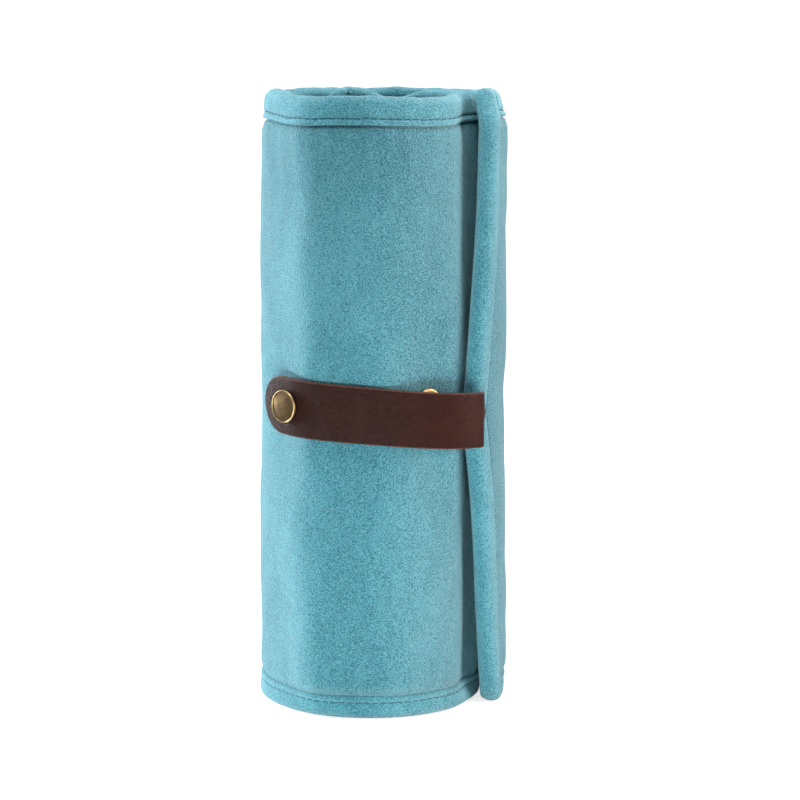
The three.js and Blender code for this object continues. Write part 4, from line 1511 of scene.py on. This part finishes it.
@dataclass
class LeatherStrap:
    """The strap, from the flap's seam round the front to its half-round end."""

    spiral: Spiral
    wardrobe: Wardrobe
    width: float = 21.0 * MM
    thickness: float = 1.8 * MM
    round_edge: float = 0.5 * MM
    root_angle: float = -36.26
    flap_angle: float = FLAP_ANGLE
    snap_angle: float = SNAP_SPOT[0] - 360.0
    root_height: float = 108.9 * MM
    snap_height: float = SNAP_SPOT[1]
    over_flap: float = 49.1 * MM
    over_snap: float = 45.35 * MM
    dip: float = 5.0 * MM
    end_reach: float = 12.2 * MM
    root_share: float = 0.955
    station: float = 1.0 * MM
    tip_steps: int = 14
    face_steps: int = 14
    corner_steps: int = 3
    bend_from: float = 3.0 * MM
    bend_to: float = 12.0 * MM
    mean_radius: float = 46.0 * MM
    cap_press: float = 0.25 * MM
    cap_press_reach: float = 8.0 * MM
    root_sink: float = 2.6 * MM
    root_sink_turn: float = 6.0

    def radius(self, angle: np.ndarray) -> np.ndarray:
        """Radius of the strap's inner face about the roll's axis; its sewn end sinks into the flap's seam."""
        share = np.clip((self.flap_angle - angle) / (self.flap_angle - self.snap_angle), 0.0, 1.0)
        lying = self.over_flap + (self.over_snap - self.over_flap) * share
        lying = lying - self.dip * np.sin(np.pi * share) ** 2
        return lying - self.root_sink * ease(1.0 - (self.root_angle - angle) / self.root_sink_turn)

    def middle_height(self, angle: np.ndarray) -> np.ndarray:
        """Height of the strap's middle line."""
        share = (self.root_angle - angle) / (self.root_angle - self.snap_angle)
        return self.root_height + (self.snap_height - self.root_height) * share

    def turn(self, run: float, angle: float) -> float:
        """Turn about the roll's axis for a run along the strap."""
        return math.degrees(run / float(self.radius(angle)))

    def stations(self) -> tuple[np.ndarray, np.ndarray]:
        """Angles along the strap and its half width at each."""
        half = self.width / 2
        tip = self.snap_angle - self.turn(self.end_reach - half, self.snap_angle)
        steps = math.ceil(math.radians(self.root_angle - tip) * self.mean_radius / self.station)
        swing = np.radians(np.linspace(0.0, 90.0, self.tip_steps + 1))[1:]
        ahead = np.degrees(half * np.sin(swing) / self.over_snap)
        angles = np.concatenate([np.linspace(self.root_angle, tip, steps + 1), tip - ahead])
        halves = np.concatenate([np.linspace(self.root_share * half, half, steps + 1), half * np.cos(swing)])
        return angles, halves

    def slots(self) -> list[int]:
        """Material slot of each face round the strap's section: grain outside, raw leather elsewhere."""
        rest = 2 * (2 * self.corner_steps + 1) + self.face_steps
        return [StrapSlot.GRAIN.value] * self.face_steps + [StrapSlot.RAW.value] * rest

    def place(self, angle: np.ndarray, across: np.ndarray, rise: np.ndarray) -> np.ndarray:
        """Points of the strap, with the leather pressed in a little round the cap."""
        height = self.middle_height(angle) + across
        run = np.radians(angle - self.snap_angle) * self.over_snap
        away = np.hypot(run, across)
        pressed = self.cap_press * hump(away, self.cap_press_reach) * (rise / self.thickness)
        reach = self.radius(angle) + rise - pressed
        return self.spiral.place(angle, self.spiral.radius(angle) - reach, height)

    def build(self) -> Piece:
        """Builds the strap; the points where it would bend between its sewn end and its free part are worked
        out but not used.

        Returns:
            The strap.
        """
        angles, halves = self.stations()
        form = (self.thickness, self.round_edge, self.face_steps, self.corner_steps)
        across, rise = band_rings(halves, *form)
        shape = index_grid(len(angles) - 1, across.shape[1] - 1)
        slots = self.slots()
        paint_rows(shape, lambda column, row: slots[int(row)])
        lay_out(shape, self.place(angles[:, None], across, rise))
        close_shape(shape)
        piece = piece_from("leather_strap", shape, self.wardrobe.pick("strap_leather", "strap_raw_edge"))
        for run in (self.bend_from, self.bend_to):
            angle = self.root_angle - self.turn(run, self.root_angle)
            depth = float(self.spiral.radius(angle)) - self.over_flap - self.thickness / 2
            self.spiral.point(angle, depth, self.root_height)
        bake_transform(piece)
        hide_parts("strap_root", "strap")
        return piece


@dataclass
class Snaps:
    """The brass snap: cap and socket on the strap, and the two studs on the cover."""

    spiral: Spiral
    wardrobe: Wardrobe
    strap: LeatherStrap
    gap: float = 0.3 * MM
    standoff: float = 4.1 * MM
    socket_thickness: float = 1.6 * MM
    rim_radius: float = 5.44 * MM
    cap_profile: Pairs = (
        (0.0, -2.7), (1.5, -2.7), (1.5, -0.1), (5.2, -0.1), (5.6, 0.05), (5.88, 0.3), (6.0, 0.62),
        (5.97, 0.92), (5.86, 1.12), (5.72, 1.2), (5.58, 1.14), (5.48, 1.0), (5.38, 0.88), (5.2, 0.9),
        (4.7, 0.97), (4.0, 1.06), (3.0, 1.15), (2.0, 1.21), (1.0, 1.24), (0.0, 1.25),
    )
    socket_profile: Pairs = (
        (3.0, 1.0), (3.0, 0.2), (3.1, 0.05), (3.35, 0.0), (3.7, 0.08), (4.0, 0.3), (4.4, 0.36), (4.75, 0.45),
        (5.0, 0.7), (5.0, 1.4), (4.85, 1.6), (1.8, 1.6), (1.8, 1.0), (3.0, 1.0),
    )
    stud_profile: Pairs = (
        (0.0, -4.0), (1.5, -4.0), (1.5, 0.0), (3.8, 0.0), (3.97, 0.1), (4.0, 0.25), (3.9, 0.45), (3.6, 0.6),
        (3.1, 0.62), (2.6, 0.5), (2.1, 0.52), (1.85, 0.62), (1.9, 0.8), (2.15, 0.95), (2.2, 1.1), (2.1, 1.3),
        (1.8, 1.45), (1.4, 1.5), (0.0, 1.5),
    )

    def turned(self, name: str, profile: Pairs, seat: Matrix, body: str, node: str,
               rim: float | None = None) -> Piece:
        """Builds one turned piece of brass.

        Args:
            name: Name of the piece.
            profile: Its profile.
            seat: Its seat.
            body: Body that it rides on.
            node: Node that it stands for.
            rim: Radius outside which the brass is bright, or None for bright brass all over.

        Returns:
            The piece.
        """
        shape = turned_shape(profile, seat)
        paint_rim(shape, seat, 0.0 if rim is None else rim, 1)
        edge = "bright_brass" if rim is None else "worn_brass"
        piece = piece_from(name, shape, self.wardrobe.pick("aged_brass", edge))
        return seated(piece, body, node)

    def build(self) -> None:
        """Builds the cap, the socket and both studs."""
        cap_depth = -self.standoff - self.strap.thickness - self.gap
        socket_depth = -self.standoff + self.gap + self.socket_thickness
        rows = (
            ("snap_cap_domed", self.cap_profile, SNAP_SPOT, cap_depth, "strap", "snap_cap"),
            ("snap_socket_turned", self.socket_profile, SNAP_SPOT, socket_depth, "strap", "snap_socket"),
            ("snap_stud_turned", self.stud_profile, SNAP_SPOT, -self.gap, "panel_08", "snap_stud"),
            ("spare_stud_turned", self.stud_profile, SPARE_SPOT, -self.gap, "panel_10", "spare_stud"),
        )
        for name, profile, (angle, height), depth, body, node in rows:
            seat = self.spiral.seat(angle, depth, height, Side.COVER)
            rim = self.rim_radius if node == "snap_cap" else None
            self.turned(name, profile, seat, body, node, rim)


# The inside


@dataclass
class RingBar:
    """The stuffed bar for rings, sewn to the lining at its foot and snapped to it by a tab at its head."""

    spiral: Spiral
    wardrobe: Wardrobe
    snaps: Snaps
    stitch: Stitch = field(default_factory=lambda: Stitch(length=2.0 * MM, radius=0.22 * MM, pitch=2.7 * MM))
    angle: float = 223.0
    lining_depth: float = 4.9 * MM
    axis_depth: float = 12.2 * MM
    radius: float = 7.0 * MM
    base: float = 22.0 * MM
    top: float = 187.0 * MM
    sides: int = 64
    rows: int = 90
    gather: Pairs = ((0.0, 1.0), (0.9, 0.75), (1.8, 0.25))
    end_round: float = 4.6 * MM
    dent: float = 0.22 * MM
    dent_steps: float = 240.0
    pleats: float = 16.0
    pleat: Swell = Swell(0.05, 0.0, math.inf, 2.2 * MM, 2.6 * MM)
    seam: Swell = Swell(0.05, 200.0, 5.0, wraps=True)
    seam_start: float = 2.0 * MM
    fill: float = 0.9
    tab_half: float = 6.5 * MM
    tab_thickness: float = 1.2 * MM
    tab_edge: float = 0.45 * MM
    tab_step: float = 1.5 * MM
    tab_snap_rim: float = 4.1 * MM
    tab_corner: float = 3.5 * MM
    tab_length: float = 24.0 * MM
    tab_depth: float = 6.95 * MM
    foot_length: float = 10.0 * MM
    foot_corner: float = 1.0 * MM
    foot_depth: float = 5.79 * MM
    seat_gap: float = 0.3 * MM
    bend: float = 1.8 * MM
    hem_inset: float = 1.5 * MM
    snap_profile: Pairs = (
        (0.0, -1.4), (1.5, -1.4), (1.5, -0.1), (4.3, -0.1), (4.7, 0.05), (4.95, 0.35), (5.0, 0.62),
        (4.9, 0.9), (4.7, 1.08), (4.5, 1.1), (4.3, 1.0), (4.1, 0.95), (3.6, 1.1), (2.6, 1.36), (1.4, 1.5),
        (0.0, 1.56),
    )

    def bar_rows(self) -> tuple[np.ndarray, np.ndarray]:
        """Radius and height of the bar's rows: gathered ends and a firm, slightly uneven middle."""
        swell = np.radians(np.linspace(0.0, 90.0, 9))
        gather = np.array(self.gather) * MM
        end_radius = np.append(gather[:, 0], self.radius - self.end_round * (1.0 - np.sin(swell)))
        end_height = np.append(gather[:, 1], self.end_round * (1.0 - np.cos(swell)))
        middle = np.linspace(self.end_round, self.top - self.base - self.end_round, self.rows)[1:-1]
        full = self.radius - self.dent * (1.0 - np.cos(middle * self.dent_steps))
        radius = np.concatenate([end_radius, full, end_radius[::-1]])
        height = np.concatenate([end_height, middle, self.top - self.base - end_height[::-1]])
        return radius, height

    def bar_piece(self) -> Piece:
        """Builds the stuffed bar.

        Returns:
            The bar, riding on its own body.
        """
        radius, height = self.bar_rows()
        turn = np.radians(np.linspace(0.0, 360.0, self.sides + 1))[:, None]
        near_end = np.minimum(height, height[-1] - height)[None, :]
        pleats = 1.0 - self.pleat.at(0.0, near_end) * (1.0 + np.cos(self.pleats * turn))
        seam = 1.0 - self.seam.at(np.degrees(turn)) * (near_end > self.seam_start)
        reach = radius[None, :] * pleats * seam
        upright = np.broadcast_to(height, reach.shape)
        local = np.stack([reach * np.cos(turn), upright, reach * np.sin(turn)], axis=2)
        shape = index_grid(self.sides, len(height) - 1)
        lay_out(shape, local)
        close_shape(shape)
        seat = self.spiral.seat(self.angle, self.axis_depth, self.base, Side.LINING)
        bmesh.ops.transform(shape, matrix=seat, verts=shape.verts)
        # The bar wears the lining's velvet, which is painted lighter to stand in for light in the hollow.
        piece = piece_from("ring_bar_stuffed", shape, self.wardrobe.pick("lining_velvet"))
        return seated(piece, "ring_bar", "ring_bar")

    def tab_piece(self, name: str, up: bool, body: str, node: str) -> Piece:
        """Builds a tab that runs along the lining and turns out to meet the bar's end.

        Args:
            name: Name of the piece.
            up: True for the tab at the head, False for the foot.
            body: Body that it rides on.
            node: Node that it stands for.

        Returns:
            The tab.
        """
        length, depth = (self.tab_length, self.tab_depth) if up else (self.foot_length, self.foot_depth)
        corner = self.tab_corner if up else self.foot_corner
        ground = depth - self.lining_depth
        meet = self.axis_depth - self.lining_depth + self.tab_thickness
        turns = np.radians(np.linspace(0.0, 90.0, 7))
        rise = np.linspace(meet, ground + self.bend, 7)[:-1]
        riser = np.stack([np.full_like(rise, self.seat_gap), rise], axis=1)
        ahead, fallen = 1.0 - np.cos(turns), 1.0 - np.sin(turns)
        curve = np.stack([self.seat_gap + self.bend * ahead, ground + self.bend * fallen], axis=1)
        runs, halves = rounded_end(length - self.seat_gap - self.bend, self.tab_half, corner, self.tab_step)
        run = np.stack([self.seat_gap + self.bend + runs[1:], np.full(len(runs) - 1, ground)], axis=1)
        path = np.concatenate([riser, curve, run])
        widths = np.concatenate([np.full(len(riser) + len(curve), self.tab_half), halves[1:]])
        shape = swept_band(path, widths, self.tab_thickness, self.tab_edge)
        self.sew_tab(shape, length, ground + self.tab_thickness, corner)
        facing = Matrix.Identity(4) if up else Matrix.Diagonal((1.0, -1.0, 1.0, 1.0))
        height = self.top if up else self.base
        seat = self.spiral.seat(self.angle, self.lining_depth, height, Side.LINING) @ facing
        bmesh.ops.transform(shape, matrix=seat, verts=shape.verts)
        bmesh.ops.recalc_face_normals(shape, faces=shape.faces)
        piece = piece_from(name, shape, self.wardrobe.pick("binding_velvet", "sewing_thread"))
        return seated(piece, body, node)

    def sew_tab(self, shape: Shape, length: float, face: float, corner: float) -> None:
        """Sews a row of stitches along both long edges of a tab.

        Args:
            shape: Shape of the tab.
            length: Length of the tab.
            face: Rise of its face.
            corner: Radius of its corners.
        """
        thread = bmesh.new()
        inset = self.tab_half - self.hem_inset
        for run in np.arange(self.seat_gap + 2.0 * self.bend, length - corner, self.stitch.pitch):
            for across in (-inset, inset):
                self.stitch.sew(thread, Vector((across, run, face)), Vector((0, 1, 0)), Vector((0, 0, 1)), 1)
        for across in np.arange(-inset + self.stitch.pitch / 2, inset, self.stitch.pitch):
            middle = Vector((across, length - self.hem_inset, face))
            self.stitch.sew(thread, middle, Vector((1, 0, 0)), Vector((0, 0, 1)), 1)
        take_up(shape, thread)

    def build(self) -> None:
        """Builds the bar, its two tabs and the tab's snap."""
        self.bar_piece()
        self.tab_piece("ring_bar_head_tab", True, "ring_bar", "ring_bar_tab")
        self.tab_piece("ring_bar_sewn_foot", False, "panel_08", "ring_bar_foot")
        height = self.top + self.tab_length - self.tab_half
        depth = self.tab_depth + self.tab_thickness + self.seat_gap
        seat = self.spiral.seat(self.angle, depth, height, Side.LINING)
        names = ("ring_bar", "ring_tab_snap")
        self.snaps.turned("ring_tab_snap_domed", self.snap_profile, seat, *names, self.tab_snap_rim)


@dataclass
class PocketZip:
    """The zip of an inner pocket: two tapes, teeth, a slider and its pull."""

    spiral: Spiral
    wardrobe: Wardrobe
    sheet: VelvetSheet
    name: str
    stave: int
    bottom: float = 12.0 * MM
    top: float = 211.0 * MM
    tape_profile: Pairs = (
        (0.7, 0.3), (0.9, 0.75), (1.3, 1.0), (1.7, 1.0), (2.1, 0.8), (2.6, 0.62), (3.4, 0.56), (4.4, 0.55),
        (5.4, 0.55), (6.4, 0.56), (7.4, 0.55), (7.9, 0.45), (8.0, 0.2), (7.9, 0.0), (6.0, 0.0), (4.0, 0.0),
        (2.0, 0.0), (0.9, 0.0), (0.7, 0.3),
    )
    tape_rows: int = 100
    rib: float = 0.04 * MM
    rib_steps: float = 4200.0
    rib_floor: float = 0.5 * MM
    sewn_run: float = 6.6 * MM
    sewn_rise: float = 0.56 * MM
    sewn_margin: float = 2.0 * MM
    tape_ground: float = 5.25 * MM
    tape_face: float = 5.8 * MM
    teeth_margin: float = 5.0 * MM
    teeth_rise: float = 0.365 * MM
    tooth: tuple[float, float, float] = (2.9 * MM, 0.8 * MM, 1.3 * MM)
    tooth_step: float = 1.05 * MM
    tooth_offset: float = 0.75 * MM
    tooth_bevel: float = 0.18 * MM
    stop: tuple[float, float] = (4.0 * MM, 1.6 * MM)
    stop_drop: float = 1.1 * MM
    slider_length: float = 10.0 * MM
    slider_width: float = 8.6 * MM
    slider_neck: float = 6.4 * MM
    slider_power: float = 1.6
    slider_bevel: float = 0.4 * MM
    channel: float = 1.8 * MM
    channel_half: float = 2.4 * MM
    rail_lift: float = 0.15 * MM
    plate: float = 1.2 * MM
    bail_length: float = 7.0 * MM
    bail_half: float = 0.8 * MM
    bail_window: float = 1.7 * MM
    bail_bar: float = 0.9 * MM
    bail_sink: float = 0.4 * MM
    bail_edge: float = 0.3 * MM
    bail_power: float = 0.5
    pull_gap: float = 0.4 * MM
    pull_thickness: float = 0.9 * MM
    pull_points: int = 48
    pull_power: float = 0.6
    pull_bevel: float = 0.2 * MM
    pull_sharp: float = 60.0
    tag_middle: float = -11.7 * MM
    tag_half: float = 12.35 * MM
    tag_width: float = 2.7 * MM
    tag_taper: float = 0.03
    eye_middle: float = -2.8 * MM
    eye_half: float = 2.12 * MM
    eye_width: float = 1.2 * MM
    stitch: Stitch = field(default_factory=lambda: Stitch(length=2.0 * MM, radius=0.2 * MM, pitch=2.7 * MM))

    def middle(self) -> float:
        """Angle of the zip's middle line."""
        return self.spiral.middle(self.stave)

    def foot(self) -> float:
        """Depth of the teeth's ground."""
        return self.tape_face + self.teeth_rise

    def tape_piece(self, side: int) -> Piece:
        """Builds one tape, from its corded edge at the teeth to its sewn edge.

        Args:
            side: -1 for the tape before the middle line, +1 for the one after it.

        Returns:
            The tape.
        """
        run, rise = np.array(self.tape_profile).T * MM
        height = np.linspace(self.bottom, self.top, self.tape_rows)
        reach = self.spiral.radius(self.middle()) - self.tape_ground
        angle = self.middle() + side * np.degrees(run / reach)
        shape = index_grid(len(run) - 1, len(height) - 1)
        ribs = self.rib * np.sin(height * self.rib_steps)[None, :] * (rise[:, None] > self.rib_floor)
        ribbed = rise[:, None] + ribs
        lay_out(shape, self.spiral.place(angle[:, None], self.tape_ground + ribbed, height[None, :]))
        close_shape(shape)
        thread = bmesh.new()
        turn = self.middle() + side * math.degrees(self.sewn_run / reach)
        out = Vector((-math.cos(math.radians(turn)), -math.sin(math.radians(turn)), 0.0))
        for sewn in np.arange(self.bottom + self.sewn_margin, self.top - self.sewn_margin, self.stitch.pitch):
            ground = self.spiral.point(turn, self.tape_ground + self.sewn_rise, sewn)
            self.stitch.sew(thread, ground, Vector((0, 0, 1)), out, 1)
        take_up(shape, thread)
        label = "before" if side < 0 else "after"
        materials = self.wardrobe.pick("zip_tape_weave", "sewing_thread")
        piece = piece_from(f"{self.name}_tape_{label}", shape, materials)
        self.sheet.bend(piece, self.stave - 1 if side < 0 else self.stave)
        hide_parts(f"{self.name}_tape")
        return piece

    def boxes(self, sizes: Sequence[tuple[Vector, Vector]], width: float, segments: int) -> Shape:
        """Bevelled blocks.

        Args:
            sizes: Middle and full size of each block.
            width: Width of the bevels.
            segments: Faces across each bevel.

        Returns:
            The blocks as one shape.
        """
        shape = bmesh.new()
        for middle, size in sizes:
            frame = Matrix.Translation(middle) @ Matrix.Diagonal((size.x, size.y, size.z, 1.0))
            bmesh.ops.create_cube(shape, size=1.0, matrix=frame)
        bevel(shape, shape.edges[:], width, segments)
        return shape

    def placed(self, name: str, shape: Shape, seat: Matrix, body: str, node: str) -> Piece:
        """Puts a brass piece of this zip on its seat, rides it on its body and hides the node that it stands
        for.
        """
        bmesh.ops.transform(shape, matrix=seat, verts=shape.verts)
        bmesh.ops.recalc_face_normals(shape, faces=shape.faces)
        piece = piece_from(f"{self.name}_{name}", shape, self.wardrobe.pick("bright_brass"))
        return seated(piece, body, f"{self.name}_{node}")

    def teeth_piece(self) -> Piece:
        """Builds the two rows of meshed teeth and the stop below them."""
        width, height, thickness = self.tooth
        length = self.top - self.bottom - 2.0 * self.teeth_margin
        count = int(length / self.tooth_step)
        blocks = []
        for index in range(count):
            across = self.tooth_offset if index % 2 else -self.tooth_offset
            middle = Vector((across, (index + 0.5) * self.tooth_step, thickness / 2))
            blocks.append((middle, Vector((width, height, thickness))))
        blocks.append((Vector((0.0, -self.stop_drop, thickness / 2)), Vector((*self.stop, thickness))))
        shape = self.boxes(blocks, self.tooth_bevel, 1)
        seat = self.spiral.seat(self.middle(), self.foot(), self.bottom + self.teeth_margin, Side.LINING)
        return self.placed("teeth_meshed", shape, seat, f"panel_{self.stave:02d}", "teeth")

    def slider_piece(self) -> Piece:
        """Builds the slider: a plate that narrows downwards, rails along the teeth, and the pull's bail."""
        half_length = self.slider_length / 2
        rail = (self.slider_width - 2.0 * self.channel_half) / 2
        roof = self.channel + self.plate
        blocks = [(Vector((0.0, -half_length, self.channel + self.plate / 2)),
                   Vector((self.slider_width, self.slider_length, self.plate)))]
        for side in (-1.0, 1.0):
            across = side * (self.slider_width - rail) / 2
            middle = Vector((across, -half_length, self.channel / 2 + self.rail_lift))
            blocks.append((middle, Vector((rail, self.slider_length, self.channel))))
        shape = self.boxes(blocks, self.slider_bevel, 3)
        for corner in shape.verts:
            share = -corner.co.y / self.slider_length
            corner.co.x *= 1.0 + (self.slider_neck / self.slider_width - 1.0) * share**self.slider_power
        arch = np.radians(np.linspace(180.0, 0.0, 15))
        height = self.bail_window + self.bail_bar / 2
        along = -half_length + self.bail_length / 2 * np.cos(arch)
        rise = roof - self.bail_sink + height * np.abs(np.sin(arch)) ** self.bail_power
        path = np.stack([along, rise], axis=1)
        take_up(shape, swept_band(path, np.full(len(path), self.bail_half), self.bail_bar, self.bail_edge))
        seat = self.spiral.seat(self.middle(), self.foot(), self.top - self.teeth_margin, Side.LINING)
        return self.placed("slider_cast", shape, seat, f"{self.name}_slider", "slider")

    def pull_loop(self, shape: Shape, middle: float, half: float, width: Callable) -> list:
        """A rounded upright loop of the pull.

        Args:
            shape: Shape that takes the loop.
            middle: Height of its middle.
            half: Half of its length.
            width: Half width by height.

        Returns:
            Its edges.
        """
        made = bmesh.ops.create_circle(shape, segments=self.pull_points, radius=1.0, cap_ends=False)["verts"]
        for corner in made:
            x, y = corner.co.x, corner.co.y
            height = middle + half * math.copysign(abs(y) ** self.pull_power, y)
            corner.co = Vector((width(height) * math.copysign(abs(x) ** self.pull_power, x), height, 0.0))
        return list({edge for corner in made for edge in corner.link_edges})

    def tag_reach(self, height: float) -> float:
        """Half width of the tag, which widens downwards."""
        return self.tag_width - self.tag_taper * (height - self.tag_middle)

    def pull_piece(self) -> Piece:
        """Builds the pull: a flat tag with an eye that hangs in the slider's bail."""
        shape = bmesh.new()
        outer = self.pull_loop(shape, self.tag_middle, self.tag_half, self.tag_reach)
        eye = self.pull_loop(shape, self.eye_middle, self.eye_half, lambda height: self.eye_width)
        thicken(shape, bmesh.ops.bridge_loops(shape, edges=outer + eye)["faces"], self.pull_thickness)
        sharp = [edge for edge in shape.edges if edge.calc_face_angle(0.0) > math.radians(self.pull_sharp)]
        bevel(shape, sharp, self.pull_bevel, 2)
        depth = self.foot() + self.channel + self.plate + self.pull_gap
        height = self.top - self.teeth_margin - self.slider_length / 2
        seat = self.spiral.seat(self.middle(), depth, height, Side.LINING)
        return self.placed("pull_tag", shape, seat, f"{self.name}_pull", "pull")

    def build(self) -> None:
        """Builds the whole zip."""
        for side in (-1, 1):
            self.tape_piece(side)
        self.teeth_piece()
        self.slider_piece()
        self.pull_piece()


class CarriedNodes:
    """The CAD nodes that stay: the small brass parts that cloth covers."""

    FINISH = "bright_brass"
    NAMES = ("snap_stud_washer", "spare_stud_washer", "ring_tab_stud")

    def dress(self, nodes: dict, wardrobe: Wardrobe) -> None:
        """Gives each node its material.

        Args:
            nodes: The frame's nodes.
            wardrobe: The materials.
        """
        for name in self.NAMES:
            slots = nodes[name].data.materials
            slots.clear()
            slots.append(wardrobe.materials[self.FINISH])


# The studio


@dataclass(frozen=True)
class Softbox:
    """One soft light of the studio, set by its direction from the roll."""

    name: str
    azimuth: float
    elevation: float
    power: float
    tint: Colour = (1.0, 1.0, 1.0)
    distance: float = 1.2
    width: float = 0.7
    height: float = 0.7
    aim: float = 0.11


COOL_DAYLIGHT = (0.93, 0.99, 1.04)
WARM_LAMP = (1.0, 0.75, 0.71)
SOFTBOXES = (
    Softbox("left_softbox", 156.0, 1.0, 40.5, COOL_DAYLIGHT),
    Softbox("right_softbox", 346.0, 4.0, 34.0, WARM_LAMP),
    Softbox("top_softbox", 270.0, 86.0, 23.0),
    Softbox("back_left_softbox", 118.0, 35.0, 6.0),
    Softbox("back_right_softbox", 62.0, 35.0, 6.0),
    Softbox("low_front_card", 250.0, -3.0, 0.98, (0.85, 1.0, 1.0), distance=0.30, width=0.30, height=0.03,
            aim=0.045),
)


@dataclass
class Studio:
    """Pale floor, soft light and the photograph's camera."""

    camera_place: tuple[float, float, float] = (0.005881, -1.026897, 0.2706)
    camera_tilt: float = 81.18
    lens: float = 125.95
    sensor: float = 36.0
    floor_radius: float = 0.95
    floor_colour: Colour = (0.45, 0.45, 0.45)
    floor_roughness: float = 0.9
    floor_specular: float = 0.1
    floor_light: float = 0.0
    floor_seen: float = 0.75
    world_colour: Colour = (1.0, 1.0, 1.0)
    world_light: float = 0.02
    backdrop_light: float = 1.1

    def add_camera(self) -> None:
        """Adds the camera at the photograph's viewing angle."""
        camera = bpy.data.cameras.new("photo_camera")
        camera.lens = self.lens
        camera.sensor_width = self.sensor
        holder = bpy.data.objects.new("photo_camera", camera)
        holder.location = self.camera_place
        holder.rotation_euler = (math.radians(self.camera_tilt), 0.0, 0.0)
        bpy.context.scene.collection.objects.link(holder)
        bpy.context.scene.camera = holder

    def add_floor(self) -> None:
        """Adds the pale floor, which looks white and throws little light back."""
        shape = bmesh.new()
        bmesh.ops.create_circle(shape, cap_ends=True, segments=96, radius=self.floor_radius)
        material = bpy.data.materials.new("pale_floor")
        material.use_nodes = True
        shader = material.node_tree.nodes["Principled BSDF"]
        shader.inputs["Base Color"].default_value = opaque(self.floor_colour)
        shader.inputs["Roughness"].default_value = self.floor_roughness
        shader.inputs["Specular IOR Level"].default_value = self.floor_specular
        shader.inputs["Emission Color"].default_value = opaque(self.world_colour)
        desk = NodeDesk(material.node_tree)
        seen = desk.add("ShaderNodeLightPath").outputs["Is Camera Ray"]
        strength = desk.span(seen, 0.0, 1.0, self.floor_light, self.floor_seen)
        material.node_tree.links.new(strength, shader.inputs["Emission Strength"])
        piece_from("studio_floor", shape, [material])

    def add_softbox(self, box: Softbox) -> None:
        """Adds a soft light that looks at the roll and isn't seen itself.

        Args:
            box: The light.
        """
        light = bpy.data.lights.new(box.name, "AREA")
        light.shape = "RECTANGLE"
        light.size, light.size_y = box.width, box.height
        light.energy = box.power
        light.color = box.tint
        holder = bpy.data.objects.new(box.name, light)
        turn, tilt = math.radians(box.azimuth), math.radians(box.elevation)
        out = Vector((math.cos(tilt) * math.cos(turn), math.cos(tilt) * math.sin(turn), math.sin(tilt)))
        holder.location = Vector((0.0, 0.0, box.aim)) + out * box.distance
        holder.rotation_euler = (-out).to_track_quat("-Z", "Y").to_euler()
        holder.visible_camera = False
        bpy.context.scene.collection.objects.link(holder)

    def add_world(self) -> None:
        """Adds the white room: a white backdrop, and a weaker light from all around."""
        world = bpy.data.worlds.new("white_room")
        world.use_nodes = True
        desk = NodeDesk(world.node_tree)
        seen = desk.add("ShaderNodeLightPath").outputs["Is Camera Ray"]
        strength = desk.span(seen, 0.0, 1.0, self.world_light, self.backdrop_light)
        ground = world.node_tree.nodes["Background"]
        ground.inputs["Color"].default_value = opaque(self.world_colour)
        world.node_tree.links.new(strength, ground.inputs["Strength"])
        bpy.context.scene.world = world

    def build(self) -> None:
        """Sets up the floor, the lights, the world and the camera."""
        bpy.context.scene.view_settings.view_transform = "Standard"
        self.add_world()
        self.add_floor()
        for box in SOFTBOXES:
            self.add_softbox(box)
        self.add_camera()


def main() -> None:
    """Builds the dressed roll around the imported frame."""
    logging.basicConfig(level=logging.INFO, format="%(message)s")
    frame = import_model()
    spiral = Spiral.from_joints(frame["joints"])
    wardrobe = Wardrobe()
    Studio().build()
    CarriedNodes().dress(frame["nodes"], wardrobe)
    sheet = VelvetSheet(spiral, wardrobe, Padding(spiral))
    sheet.build()
    strap = LeatherStrap(spiral, wardrobe)
    strap.build()
    snaps = Snaps(spiral, wardrobe, strap)
    snaps.build()
    RingBar(spiral, wardrobe, snaps).build()
    for number, stave in enumerate(ZIP_STAVES, start=1):
        PocketZip(spiral, wardrobe, sheet, f"zip_{number}", stave).build()


if __name__ == "__main__":
    main()
